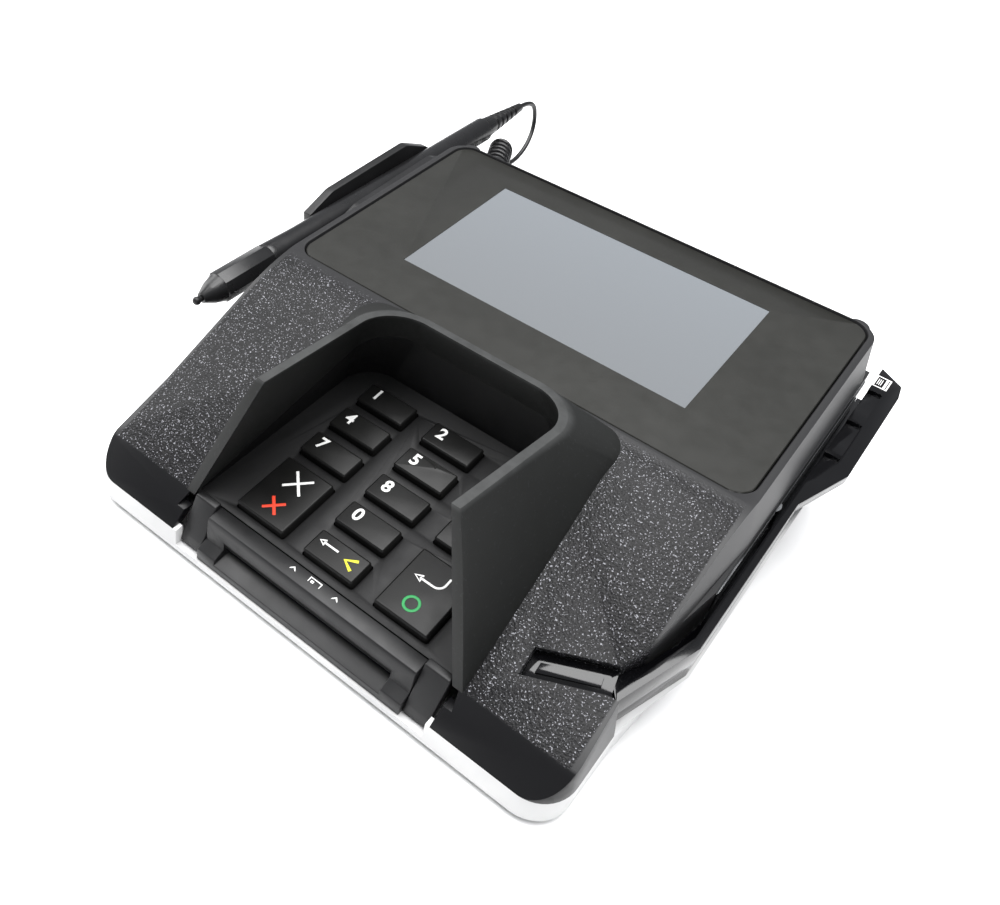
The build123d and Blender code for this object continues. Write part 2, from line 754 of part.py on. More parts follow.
# ---------------------------------------------------------------- privacy shield
# Its base lies along the wings, so the lower outline is drawn on a plane sunk below them.
SHIELD_BASE = WING.offset(-SHIELD_SINK)
SHIELD_BASE_BACK = (SHIELD_BACK - SHIELD_BASE.origin.Y) / math.cos(rad(WING_TILT))
with BuildPart() as privacy_shield:
    with BuildSketch(SHIELD_BASE):
        add(
            well_outline(
                SHIELD_HALF_FRONT, SHIELD_HALF_BACK, -21.0, SHIELD_BASE_BACK, SHIELD_CORNER
            )
        )
    with BuildSketch(Plane.XY.offset(RIM_HEIGHT)):
        add(
            well_outline(
                RIM_HALF_FRONT + RIM_BAND,
                RIM_HALF_BACK + RIM_BAND,
                KEYPAD_FRONT - 20,
                RIM_BACK + RIM_BAND,
                RIM_CORNER + RIM_BAND,
            )
        )
    loft(ruled=True)
    add(well_space, mode=Mode.SUBTRACT)
    # Slanted front edge.
    with BuildSketch(Plane.YZ):
        with BuildLine():
            Polyline(
                (SHIELD_FOOT_FRONT - 1.0, 0),
                (SHIELD_FOOT_FRONT, WING_FRONT_HEIGHT),
                (SHIELD_PEAK_FRONT, RIM_HEIGHT),
                (SHIELD_PEAK_FRONT, 90),
                (-120, 90),
                (-120, 0),
                close=True,
            )
        make_face()
    extrude(amount=70, both=True, mode=Mode.SUBTRACT)
    # Its foot follows the wings and the strip in front of the display.
    with BuildSketch(Plane.YZ):
        add(side_outline(12))
    extrude(amount=70, both=True, mode=Mode.SUBTRACT)
finish(privacy_shield, "privacy_shield")

CLIP_INNER = TRIM_HALF + 0.2
CLIP_OUTER = CLIP_INNER + CLIP_WIDTH


def clip_profile():
    """Side view of a shield clip: a sloping nose hooked over the front of the base."""
    with BuildSketch() as outline:
        with BuildLine():
            Polyline(
                (KEYPAD_FRONT - 0.1, KEYPAD_FRONT_HEIGHT + 1.0),
                (KEYPAD_FRONT - 2.2, KEYPAD_FRONT_HEIGHT + 0.5),
                (BODY_FRONT + 2.4, 7.6),
                (BODY_FRONT + 1.6, 5.0),
                (BODY_FRONT + 3.4, 5.0),
                (KEYPAD_FRONT - 3.0, 10.0),
                (KEYPAD_FRONT - 0.1, 12.0),
                close=True,
            )
        make_face()
        fillet(outline.vertices().sort_by_distance((BODY_FRONT + 2.4, 7.6, 0))[0], 0.8)
    return outline.sketch


for name, side in (("shield_clip_left", -1), ("shield_clip_right", 1)):
    with BuildPart() as shield_clip:
        with BuildSketch(Plane.YZ.offset(side * CLIP_INNER)):
            add(clip_profile())
        extrude(amount=side * CLIP_WIDTH)
    finish(shield_clip, name)

# ---------------------------------------------------------------- chip card slot
SLOT_PLANE = tilted(KEYPAD_TILT, BODY_FRONT, 6.2)
READER_WIDTH = 64.0
READER_DEPTH = 50.0
READER_BELOW = 2.2
READER_ABOVE = 2.0
CARD_SPACE = 1.2

with BuildPart() as card_slot_trim:
    with BuildSketch(Plane.YZ):
        with BuildLine():
            Polyline(
                (KEYPAD_FRONT - 0.2, KEYPAD_FRONT_HEIGHT - 0.1),
                (KEYPAD_FRONT - 4.6, KEYPAD_FRONT_HEIGHT - 1.0),
                (KEYPAD_FRONT - 5.2, KEYPAD_FRONT_HEIGHT - 2.0),
                (KEYPAD_FRONT - 5.4, 9.6),
                (BODY_FRONT + 0.8, 7.8),
                (BODY_FRONT + 0.5, 6.8),
                (BODY_FRONT + 0.5, 4.2),
                (KEYPAD_FRONT - 0.2, 4.2),
                close=True,
            )
        make_face()
    extrude(amount=TRIM_HALF, both=True)
    # Card mouth, with a lead-in above it.
    with BuildSketch(SLOT_PLANE):
        with Locations((0, 5)):
            Rectangle(CARD_SLOT_WIDTH, 40)
    extrude(amount=CARD_SLOT_HEIGHT, mode=Mode.SUBTRACT)
    with BuildSketch(SLOT_PLANE.offset(CARD_SLOT_HEIGHT - EPS)):
        with Locations((0, -1)):
            Rectangle(CARD_SLOT_WIDTH, 13)
    extrude(amount=2.6, mode=Mode.SUBTRACT)
finish(card_slot_trim, "card_slot_trim")

READER_FRONT = (KEYPAD_FRONT - BODY_FRONT + 0.3) / math.cos(rad(KEYPAD_TILT))
with BuildPart() as card_reader:
    with BuildSketch(SLOT_PLANE.offset(-READER_BELOW)):
        with Locations((0, READER_FRONT + READER_DEPTH / 2)):
            Rectangle(READER_WIDTH, READER_DEPTH)
    extrude(amount=READER_BELOW + READER_ABOVE)
    with BuildSketch(SLOT_PLANE):
        with Locations((0, READER_FRONT + READER_DEPTH / 2 - 2)):
            Rectangle(CARD_SLOT_WIDTH - 1, READER_DEPTH)
    extrude(amount=CARD_SPACE, mode=Mode.SUBTRACT)
finish(card_reader, "card_reader")

with BuildPart() as card_contacts:
    with BuildSketch(SLOT_PLANE.offset(CARD_SPACE)):
        with Locations((-6, READER_FRONT + 24)):
            with GridLocations(7.62, 2.54, 2, 4):
                Rectangle(4.0, 1.2)
    extrude(amount=-0.25)
finish(card_contacts, "card_contacts")

# ---------------------------------------------------------------- swipe track
RAIL_INNER = SLOT_INNER + 0.15
RAMP_TOP = RAIL_HEIGHT - 1.0
RAMP_TILT = DISPLAY_TILT - 24.0
ARM_MEETING_V = -48.0
RAMP = tilted(
    RAMP_TILT,
    ARM_MEETING_V * SEAM_COS - RAMP_TOP * SEAM_SIN,
    SEAM_Z0 + ARM_MEETING_V * SEAM_SIN + RAMP_TOP * SEAM_COS,
)

# Ramp that lifts the card out across the wing.
with BuildPart() as exit_ramp:
    with BuildSketch(SEAM):
        with BuildLine():
            Polyline(
                (SLOT_INNER - 7.85, -52.3),
                (SLOT_INNER - 3.85, -41.1),
                (RAIL_INNER, -20.0),
                (RAIL_OUTER - 0.5, -20.0),
                (RAIL_OUTER - 0.5, RAIL_FRONT),
                (RAIL_TOE[0] - 0.3, RAIL_TOE[1] + 1.0),
                close=True,
            )
        make_face()
    extrude(amount=RAMP_TOP)
    split(bisect_by=RAMP, keep=Keep.BOTTOM)

# Plane across the track, with its X along the swipe and its Y up from the top of the rail.
STEP_PLANE = Plane(
    origin=SEAM.offset(RAIL_HEIGHT).origin,
    x_dir=(0, SEAM_COS, SEAM_SIN),
    z_dir=(1, 0, 0),
)
TRACK_OUTER = SLOT_INNER + SLOT_GAP

with BuildPart() as swipe_rail:
    # Floor of the track.
    with BuildSketch(SEAM):
        with BuildLine():
            Polyline(
                (RAIL_INNER, -18.0),
                (RAIL_INNER, RAIL_BACK),
                (RAIL_OUTER - 2.0, RAIL_BACK),
                (RAIL_OUTER, RAIL_BACK - 2.0),
                (RAIL_OUTER, RAIL_FRONT),
                (RAIL_TOE[0], RAIL_TOE[1] + 0.3),
                (SLOT_INNER - 7.85, -52.3),
                (SLOT_INNER - 3.85, -41.1),
                close=True,
            )
        make_face()
    extrude(amount=RAIL_FLOOR)
    # Straight outer wall.
    with BuildSketch(SEAM):
        with BuildLine():
            Polyline(
                (TRACK_OUTER, BULGE_START),
                (TRACK_OUTER + 0.4, RAIL_BACK),
                (RAIL_OUTER - 1.0, RAIL_BACK),
                (RAIL_OUTER, RAIL_BACK - 2.0),
                (RAIL_OUTER, RAIL_FRONT),
                (RAIL_TOE[0], RAIL_TOE[1] + 0.3),
                (RAIL_TOE[0] - 1.2, RAIL_TOE[1] + 2.6),
                (RAIL_OUTER - RAIL_WALL, RAIL_FRONT + 2.0),
                close=True,
            )
        make_face()
    extrude(amount=RAIL_HEIGHT)
    add(exit_ramp.part)
    # Flange at the back that leads the card into the track.
    with BuildSketch(SEAM.offset(RAIL_HEIGHT)):
        with BuildLine():
            Polyline(
                (TRACK_OUTER, BULGE_START - 4.0),
                (TRACK_OUTER + 0.4, BULGE_BACK - 1.2),
                (BULGE_OUTER - 1.0, BULGE_CORNER),
                (BULGE_OUTER, BULGE_END),
                (BULGE_OUTER, BULGE_FULL),
                (RAIL_OUTER, BULGE_START),
                (RAIL_OUTER, BULGE_START - 4.0),
                close=True,
            )
        make_face()
    extrude(amount=-BULGE_THICK)
    # Three shingled steps that show the way of the swipe, each with a corner cut away.
    for step in range(3):
        riser = STEP_FIRST + STEP_PITCH * step
        with BuildSketch(STEP_PLANE.offset(TRACK_OUTER - 1)):
            with BuildLine():
                Polyline(
                    (riser - STEP_PITCH + 3.5, 0.2),
                    (riser, 0.2),
                    (riser, -STEP_DROP),
                    close=True,
                )
            make_face()
        extrude(amount=STEP_WIDTH, mode=Mode.SUBTRACT)
        with BuildSketch(SEAM.offset(RAIL_HEIGHT)):
            with BuildLine():
                Polyline(
                    (TRACK_OUTER - 1, riser),
                    (TRACK_OUTER + 2.8, riser),
                    (TRACK_OUTER - 1, riser - 9.0),
                    close=True,
                )
            make_face()
        extrude(amount=-STEP_DROP - 0.6, mode=Mode.SUBTRACT)
    # Arm that fills the pocket in the wing: floor, rim and a raised bar.
    with BuildSketch(WING.offset(-ARM_DEPTH)):
        with BuildLine():
            Polyline(
                wing_point(SLOT_INNER - 7.4, -53.25),
                wing_point(SLOT_INNER - 25.35, -59.4),
                wing_point(SLOT_INNER - 25.0, -65.3),
                wing_point(SLOT_INNER - 5.9, -58.6),
                close=True,
            )
        make_face()
    extrude(amount=1.0)
    with BuildSketch(WING.offset(-ARM_DEPTH)):
        with BuildLine():
            Polyline(
                wing_point(SLOT_INNER - 9.4, -56.2),
                wing_point(SLOT_INNER - 22.8, -60.9),
                wing_point(SLOT_INNER - 22.7, -63.2),
                wing_point(SLOT_INNER - 8.8, -58.2),
                close=True,
            )
        make_face()
    extrude(amount=2.2)
finish(swipe_rail, "swipe_rail")

with BuildPart() as wear_strip:
    with BuildSketch(SEAM.offset(RAIL_FLOOR + 0.3)):
        with BuildLine():
            Polyline(
                (SLOT_INNER, -16.0),
                (SLOT_INNER + 0.35, -15.0),
                (SLOT_INNER + 0.35, BODY_BACK - 3),
                (SLOT_INNER, BODY_BACK - 2),
                close=True,
            )
        make_face()
    extrude(amount=RAIL_HEIGHT - RAIL_FLOOR - 0.4)
    # Window for the reading head.
    with BuildSketch(SEAM.offset(HEAD_TRACK - 5.0)):
        with Locations((SLOT_INNER, HEAD_V)):
            Rectangle(6, 11)
    extrude(amount=9, mode=Mode.SUBTRACT)
finish(wear_strip, "wear_strip")

with BuildPart() as magnetic_head:
    with BuildSketch(SEAM.offset(HEAD_TRACK - 3.6)):
        with Locations((SLOT_INNER - 3.4, HEAD_V)):
            Rectangle(7.4, 9)
    extrude(amount=7.2)
    with BuildSketch(SEAM.offset(HEAD_TRACK - 3.6)):
        with Locations((SLOT_INNER + 0.3 - 2.2, HEAD_V)):
            Circle(2.9)
    extrude(amount=7.2)
finish(magnetic_head, "magnetic_head")

SPRING_BACK = SLOT_INNER - 7.1
SPRING_SEAT = SLOT_INNER - SLOT_WALL
SPRING_THICK = 0.45
with BuildPart() as head_spring:
    with BuildSketch(SEAM.offset(HEAD_TRACK - 2.5)):
        with BuildLine():
            Polyline(
                (SPRING_BACK - SPRING_THICK, HEAD_V - 5.2),
                (SPRING_BACK - SPRING_THICK, HEAD_V + 5.2),
                (SPRING_SEAT - SPRING_THICK, HEAD_V + 13.2),
                (SPRING_SEAT - SPRING_THICK, HEAD_V + 18),
                (SPRING_SEAT, HEAD_V + 18),
                (SPRING_SEAT, HEAD_V + 13),
                (SPRING_BACK, HEAD_V + 4.9),
                (SPRING_BACK, HEAD_V - 4.9),
                (SPRING_SEAT, HEAD_V - 13),
                (SPRING_SEAT, HEAD_V - 18),
                (SPRING_SEAT - SPRING_THICK, HEAD_V - 18),
                (SPRING_SEAT - SPRING_THICK, HEAD_V - 13.2),
                close=True,
            )
        make_face()
    extrude(amount=5.0)
finish(head_spring, "head_spring")

# ---------------------------------------------------------------- electronics
with BuildPart() as main_board:
    with BuildSketch(Plane.XY.offset(BOARD_TOP_Z - BOARD_THICK)):
        with Locations((0, BOARD_Y)):
            RectangleRounded(BOARD_WIDTH, BOARD_DEPTH, 3)
            with GridLocations(2 * BOARD_SCREWS_X, 2 * BOARD_SCREWS_Y, 2, 2):
                Circle(SCREW_RADIUS + FIT, mode=Mode.SUBTRACT)
    extrude(amount=BOARD_THICK)
finish(main_board, "main_board")

with BuildPart() as board_screws:
    with BuildSketch(Plane.XY.offset(BOARD_TOP_Z)):
        with Locations((0, BOARD_Y)):
            with GridLocations(2 * BOARD_SCREWS_X, 2 * BOARD_SCREWS_Y, 2, 2):
                Circle(SCREW_HEAD_RADIUS)
    extrude(amount=SCREW_HEAD_HEIGHT)
    with BuildSketch(Plane.XY.offset(BOARD_TOP_Z)):
        with Locations((0, BOARD_Y)):
            with GridLocations(2 * BOARD_SCREWS_X, 2 * BOARD_SCREWS_Y, 2, 2):
                Circle(SCREW_RADIUS)
    extrude(amount=-6.0)
finish(board_screws, "board_screws")

with BuildPart() as processor_can:
    with BuildSketch(Plane.XY.offset(BOARD_TOP_Z)):
        with Locations((-24, 40)):
            RectangleRounded(34, 30, 1)
    extrude(amount=3.2)
    chamfer(faces().sort_by(Axis.Z)[-1].edges(), 0.4)
finish(processor_can, "processor_can")

with BuildPart() as memory_chips:
    with BuildSketch(Plane.XY.offset(BOARD_TOP_Z)):
        with Locations((-24, 15)):
            with GridLocations(16, 0, 2, 1):
                Rectangle(11, 13)
    extrude(amount=1.1)
finish(memory_chips, "memory_chips")

CELL_RADIUS = 10.0
CELL_THICK = 3.2
CELL_PLACE = (36, 20)
with BuildPart() as cell_holder:
    with BuildSketch(Plane.XY.offset(BOARD_TOP_Z)):
        with Locations(CELL_PLACE):
            Circle(CELL_RADIUS + 1.6)
            Rectangle(2 * CELL_RADIUS + 8, 8)
    extrude(amount=4.0)
    with BuildSketch(Plane.XY.offset(BOARD_TOP_Z + 1.0)):
        with Locations(CELL_PLACE):
            Circle(CELL_RADIUS + FIT)
    extrude(amount=5, mode=Mode.SUBTRACT)
finish(cell_holder, "cell_holder")

with BuildPart() as coin_cell:
    with BuildSketch(Plane.XY.offset(BOARD_TOP_Z + 1.0)):
        with Locations(CELL_PLACE):
            Circle(CELL_RADIUS)
    extrude(amount=CELL_THICK)
    chamfer(faces().sort_by(Axis.Z)[-1].edges(), 0.3)
finish(coin_cell, "coin_cell")

with BuildPart() as io_connector:
    with BuildSketch(Plane.XY.offset(BOARD_TOP_Z)):
        with Locations((PORT_X, BODY_BACK - WALL - 9.5)):
            Rectangle(PORT_WIDTH - 1, 18)
    extrude(amount=PORT_HEIGHT + 1.0)
    with BuildSketch(Plane.XZ.offset(-BODY_BACK)):
        with Locations((PORT_X, BOARD_TOP_Z + PORT_HEIGHT / 2 + 0.6)):
            Rectangle(PORT_WIDTH - 4, PORT_HEIGHT - 2.6)
    extrude(amount=14, mode=Mode.SUBTRACT)
finish(io_connector, "io_connector")

with BuildPart() as sam_holder:
    with BuildSketch(Plane.XY.offset(BOARD_TOP_Z - BOARD_THICK)):
        with Locations((0, DOOR_Y)):
            Rectangle(26, 15)
    extrude(amount=-3.4)
    with BuildSketch(Plane.XY.offset(BOARD_TOP_Z - BOARD_THICK - 1.6)):
        with Locations((0, DOOR_Y - 2)):
            Rectangle(25, 13)
    extrude(amount=-0.9, mode=Mode.SUBTRACT)
finish(sam_holder, "sam_holder")

SOCKET_HEIGHT = 3.0
KEYPAD_SOCKET = (-14, -9)
DISPLAY_SOCKET = (-28, 66)
READER_SOCKET = (34, -10)
with BuildPart() as board_sockets:
    with BuildSketch(Plane.XY.offset(BOARD_TOP_Z)):
        with Locations(KEYPAD_SOCKET, DISPLAY_SOCKET, READER_SOCKET):
            Rectangle(16, 4)
    extrude(amount=SOCKET_HEIGHT)
finish(board_sockets, "board_sockets")

SPEAKER_PLACE = (-36, -3)
with BuildPart() as speaker:
    with BuildSketch(Plane.XY.offset(BOARD_TOP_Z)):
        with Locations(SPEAKER_PLACE):
            Circle(9)
    extrude(amount=4.5)
    with BuildSketch(Plane.XY.offset(BOARD_TOP_Z + 4.5)):
        with Locations(SPEAKER_PLACE):
            Circle(7.4)
            Circle(3.2, mode=Mode.SUBTRACT)
    extrude(amount=-0.8, mode=Mode.SUBTRACT)
finish(speaker, "speaker")


FLEX_THICK = 0.3
SOCKET_TOP_Z = BOARD_TOP_Z + SOCKET_HEIGHT
with BuildPart() as display_flex:
    with BuildSketch(Plane.XY.offset(SOCKET_TOP_Z)):
        with Locations(DISPLAY_SOCKET):
            Rectangle(14, FLEX_THICK)
    extrude(amount=60)
    split(bisect_by=DISPLAY.offset(BRACKET_TOP - BRACKET_THICK), keep=Keep.BOTTOM)
finish(display_flex, "display_flex")

with BuildPart() as keypad_flex:
    with BuildSketch(Plane.XY.offset(SOCKET_TOP_Z)):
        with Locations((KEYPAD_SOCKET[0], KEYPAD_SOCKET[1] - 1.8)):
            Rectangle(14, FLEX_THICK)
    extrude(amount=30)
    split(bisect_by=KEYPAD.offset(KEYPAD_BOARD_TOP - KEYPAD_BOARD_THICK), keep=Keep.BOTTOM)
finish(keypad_flex, "keypad_flex")


STYLUS_X = -HALF_WIDTH_BACK - STYLUS_OUTBOARD
STYLUS_TIP_Y = BODY_BACK - STYLUS_TIP_AHEAD
STYLUS_W = DISPLAY_W - STYLUS_DROP
STYLUS_V = (STYLUS_TIP_Y + STYLUS_W * SEAM_SIN) / SEAM_COS
STYLUS_TIP_Z = SEAM_Z0 + STYLUS_V * SEAM_SIN + STYLUS_W * SEAM_COS
STYLUS_AXIS = Plane(
    origin=(STYLUS_X, STYLUS_TIP_Y, STYLUS_TIP_Z),
    x_dir=(1, 0, 0),
    z_dir=(0, math.cos(rad(STYLUS_TILT)), math.sin(rad(STYLUS_TILT))),
)
TIP_BALL = 1.3
NECK_END = 3.0
CONE_END = 10.0
GRIP_END = 30.0
TAPER_END = 44.0
BARREL_END = 146.0
TAIL_END = 171.0

# ---------------------------------------------------------------- stylus
with BuildPart() as stylus_tip:
    with Locations(STYLUS_AXIS.offset(TIP_BALL).location):
        Sphere(TIP_BALL)
    with BuildSketch(STYLUS_AXIS.offset(TIP_BALL)):
        Circle(0.95)
    extrude(amount=NECK_END - TIP_BALL)
finish(stylus_tip, "stylus_tip")

with BuildPart() as stylus_grip:
    with BuildSketch(STYLUS_AXIS.offset(NECK_END)):
        Circle(1.6)
    with BuildSketch(STYLUS_AXIS.offset((NECK_END + CONE_END) / 2)):
        Circle(STYLUS_GRIP_RADIUS - 1.5)
    with BuildSketch(STYLUS_AXIS.offset(CONE_END)):
        Circle(STYLUS_GRIP_RADIUS - 0.4)
    loft(ruled=True)
    with BuildSketch(STYLUS_AXIS.offset(CONE_END)):
        RegularPolygon(STYLUS_GRIP_RADIUS, 8)
    extrude(amount=GRIP_END - CONE_END)
finish(stylus_grip, "stylus_grip")

with BuildPart() as stylus_barrel:
    with BuildSketch(STYLUS_AXIS.offset(GRIP_END)):
        Circle(STYLUS_GRIP_RADIUS - 0.1)
    with BuildSketch(STYLUS_AXIS.offset(TAPER_END)):
        Circle(STYLUS_RADIUS)
    loft(ruled=True)
    with BuildSketch(STYLUS_AXIS.offset(TAPER_END)):
        Circle(STYLUS_RADIUS)
    extrude(amount=BARREL_END - TAPER_END)
    chamfer(edges().group_by(Axis.Y)[-1], 0.5)
finish(stylus_barrel, "stylus_barrel")

with BuildPart() as stylus_tail:
    with BuildSketch(STYLUS_AXIS.offset(BARREL_END)):
        Circle(STYLUS_RADIUS - 0.6)
    with BuildSketch(STYLUS_AXIS.offset(TAIL_END)):
        Circle(TETHER_DIAMETER / 2 + 0.7)
    loft(ruled=True)
    for rib in range(5):
        with BuildSketch(STYLUS_AXIS.offset(BARREL_END + 5 + 3.4 * rib)):
            Circle(STYLUS_RADIUS + 0.5)
            Circle(STYLUS_RADIUS - 1.5 - 0.36 * rib, mode=Mode.SUBTRACT)
        extrude(amount=1.3, mode=Mode.SUBTRACT)
finish(stylus_tail, "stylus_tail")

# Cradle for the stylus on the left side, drawn along the pen from its tip.
HOLDER_OUTER_X = STYLUS_X - STYLUS_RADIUS - STYLUS_CLEAR - HOLDER_WALL
HOLDER_ROOT_X = STYLUS_X + STYLUS_RADIUS + STYLUS_CLEAR + 6.4
HOLDER_UNDER = -STYLUS_RADIUS - STYLUS_CLEAR - HOLDER_WALL - 2.0
CRADLE_SIDE = Plane(
    origin=(HOLDER_OUTER_X, STYLUS_AXIS.origin.Y, STYLUS_AXIS.origin.Z),
    x_dir=STYLUS_AXIS.z_dir,
    z_dir=(1, 0, 0),
)
with BuildPart() as stylus_holder:
    with BuildSketch(CRADLE_SIDE) as cradle_outline:
        with BuildLine():
            Polyline(
                (HOLDER_FRONT, HOLDER_UNDER),
                (HOLDER_FRONT, 2.0),
                (HOLDER_FRONT + 11, HOLDER_CREST - 1.4),
                (HOLDER_BACK - 13, HOLDER_CREST),
                (HOLDER_BACK - 1, 2.2),
                (HOLDER_BEAK, -2.4),
                (HOLDER_BACK - 4, HOLDER_UNDER),
                close=True,
            )
        make_face()
        fillet(cradle_outline.vertices().sort_by(Axis.Y)[-2:], 6.0)
    extrude(amount=HOLDER_ROOT_X - HOLDER_OUTER_X)
    # Trough for the barrel, open at the top.
    with BuildSketch(STYLUS_AXIS):
        Circle(STYLUS_RADIUS + STYLUS_CLEAR)
        with Locations((0, -15)):
            Rectangle(2 * (STYLUS_RADIUS + STYLUS_CLEAR), 30)
    extrude(amount=200, mode=Mode.SUBTRACT)
    # The wall beside the housing stays low and the whole piece follows the housing side.
    add(upper_envelope.part, mode=Mode.SUBTRACT)
finish(stylus_holder, "stylus_holder")

# ---------------------------------------------------------------- tether
TAIL_Y = STYLUS_TIP_Y + TAIL_END * math.cos(rad(STYLUS_TILT))
TAIL_Z = STYLUS_TIP_Z + TAIL_END * math.sin(rad(STYLUS_TILT))
ANCHOR_FACE = Vector(STYLUS_X + 15.6, BODY_BACK + 6.0, TAIL_Z - 10.15)
COIL_END = Vector(STYLUS_X + 6.0, BODY_BACK + 25.0, TAIL_Z - 10.95)
COIL_AXIS = ANCHOR_FACE - COIL_END
LEAD_ENTRY = COIL_END - COIL_AXIS.normalized() * 9.8
LEAD_EXIT = STYLUS_AXIS.offset(TAIL_END + 10.2).origin
LEAD_POINTS = [
    (STYLUS_X, TAIL_Y, TAIL_Z),
    (LEAD_EXIT.X, LEAD_EXIT.Y, LEAD_EXIT.Z),
    (STYLUS_X + 1.2, TAIL_Y + 13.9, TAIL_Z - 8.75),
    (STYLUS_X + 3.6, TAIL_Y + 6.7, TAIL_Z - 16.75),
    (LEAD_ENTRY.X, LEAD_ENTRY.Y, LEAD_ENTRY.Z),
    (COIL_END.X, COIL_END.Y, COIL_END.Z),
]


def bend_radii(points):
    """Radius of each bend: a share of its shorter run, set by how sharp the turn is."""
    radii = []
    for before, here, after in zip(points, points[1:], points[2:]):
        run_in = Vector(*here) - Vector(*before)
        run_out = Vector(*after) - Vector(*here)
        half_turn = rad(run_in.get_angle(run_out)) / 2
        shorter = min(run_in.length, run_out.length)
        radii.append(0.45 * shorter / math.tan(half_turn))
    return radii


LEAD_RADII = bend_radii(LEAD_POINTS)
print("lead bend radii:", [round(radius, 1) for radius in LEAD_RADII])

with BuildPart() as tether_lead:
    with BuildLine() as lead_route:
        FilletPolyline(*LEAD_POINTS, radius=LEAD_RADII)
    with BuildSketch(
        Plane(origin=LEAD_POINTS[0], z_dir=lead_route.line % 0)
    ):
        Circle(TETHER_DIAMETER / 2)
    sweep(path=lead_route.line)
lead_section = math.pi * (TETHER_DIAMETER / 2) ** 2
lead_length = sum(edge.length for edge in lead_route.edges())
print("lead length", round(lead_length, 1), "volume ratio",
      round(tether_lead.part.volume / (lead_section * lead_length), 3))
finish(tether_lead, "tether_lead")

with BuildPart() as tether_coil:
    with BuildSketch(Plane(origin=COIL_END, z_dir=COIL_AXIS)):
        Circle(COIL_DIAMETER / 2)
    extrude(amount=COIL_AXIS.length)
finish(tether_coil, "tether_coil")

# Gland on the back of the housing: a taper that opens towards the wall it is fixed to.
ANCHOR_BACK = 16.0
with BuildPart() as tether_anchor:
    with BuildSketch(Plane(origin=ANCHOR_FACE, z_dir=COIL_AXIS)):
        Circle(COIL_DIAMETER / 2)
    with BuildSketch(Plane(origin=ANCHOR_FACE, z_dir=COIL_AXIS).offset(ANCHOR_BACK)):
        Circle(COIL_DIAMETER / 2 + 0.8)
    loft(ruled=True)
    add(upper_envelope.part, mode=Mode.SUBTRACT)
finish(tether_anchor, "tether_anchor")
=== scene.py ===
# %% [markdown]
# # A card payment terminal
# The terminal's hard pieces were designed to size in CAD.  This lesson gives them the look of
# the real thing: softened edges, moulded and polished plastics, printed legends, a lit room
# and a camera.  Every position comes from the CAD frame, in metres.

# %% Load the frame
import json
import math

import bpy
from mathutils import Matrix, Vector


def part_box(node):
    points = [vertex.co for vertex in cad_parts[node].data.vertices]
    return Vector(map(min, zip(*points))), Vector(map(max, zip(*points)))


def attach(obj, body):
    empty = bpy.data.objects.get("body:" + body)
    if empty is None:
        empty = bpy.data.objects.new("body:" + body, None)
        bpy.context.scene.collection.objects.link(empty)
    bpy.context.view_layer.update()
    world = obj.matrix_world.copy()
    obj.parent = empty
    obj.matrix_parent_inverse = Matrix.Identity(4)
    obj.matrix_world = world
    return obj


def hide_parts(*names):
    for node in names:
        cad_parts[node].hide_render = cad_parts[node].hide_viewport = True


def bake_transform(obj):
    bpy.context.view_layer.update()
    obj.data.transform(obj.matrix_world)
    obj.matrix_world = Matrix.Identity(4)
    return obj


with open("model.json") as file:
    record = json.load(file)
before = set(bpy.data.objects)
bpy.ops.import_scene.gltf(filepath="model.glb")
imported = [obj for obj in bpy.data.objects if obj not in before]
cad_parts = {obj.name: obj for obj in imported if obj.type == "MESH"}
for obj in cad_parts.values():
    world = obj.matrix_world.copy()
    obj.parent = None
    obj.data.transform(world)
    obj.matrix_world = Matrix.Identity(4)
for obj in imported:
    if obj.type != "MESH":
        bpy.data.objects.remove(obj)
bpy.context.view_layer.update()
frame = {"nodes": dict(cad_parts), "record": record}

mm = 0.001

# %% [markdown]
# ## Which body does a piece move with?
# The record lists the nodes of each moving body.  Turning that list round once lets every
# piece below ask for its body by the name of the node that it dresses.

# %% Body of each node
body_of_node = {}
for body_name, node_names in frame["record"]["behaviour"]["bodies"].items():
    for node_name in node_names:
        body_of_node[node_name] = body_name

# %% [markdown]
# ## The terminal's working planes
# The display, the keypad, the wings and the swipe track each lie on their own slope.  A matrix for
# the display, the keypad and the swipe track turns flat work, such as a legend, into its place on
# that slope.

# %% Working planes


def slope(tilt, y, z):
    """The frame of a plane through (0, y, z) that climbs to the back."""
    return Matrix.Translation((0, y * mm, z * mm)) @ Matrix.Rotation(math.radians(tilt), 4, "X")


display_plane = slope(9.0, -6.0, 52.9)
keypad_plane = slope(12.15, -73.0, 17.6)
seam_plane = slope(9.0, 0.0, 22.235)
key_rise = 2.4 * mm

# %% [markdown]
# ## Selecting before shaping
# A bpy.ops operator acts on whatever is selected.  One small helper leaves only one object
# selected and active, so that no step reaches a piece that it shouldn't.

# %% Select one object


def only(obj):
    """Deselect everything, then select and activate this object."""
    bpy.ops.object.select_all(action="DESELECT")
    obj.select_set(True)
    bpy.context.view_layer.objects.active = obj


def settle(obj, matrix):
    """Put the object at a place and write that place into its mesh."""
    obj.matrix_world = matrix
    only(obj)
    bpy.ops.object.transform_apply(location=True, rotation=True, scale=True)
    return obj


# %% [markdown]
# ## Colours and nodes
# Paint and plastic colours are usually given as sRGB hex values, but shaders work in linear
# light, so one function converts them.  A second one adds a node, sets its values and wires
# its inputs, which keeps each material short enough to read.

# %% Colour and node helpers


def linear(hex_colour):
    """An sRGB hex colour as linear RGBA."""
    channels = [int(hex_colour[i : i + 2], 16) / 255 for i in (1, 3, 5)]
    flat = [c / 12.92 if c <= 0.04045 else ((c + 0.055) / 1.055) ** 2.4 for c in channels]
    return (*flat, 1.0)


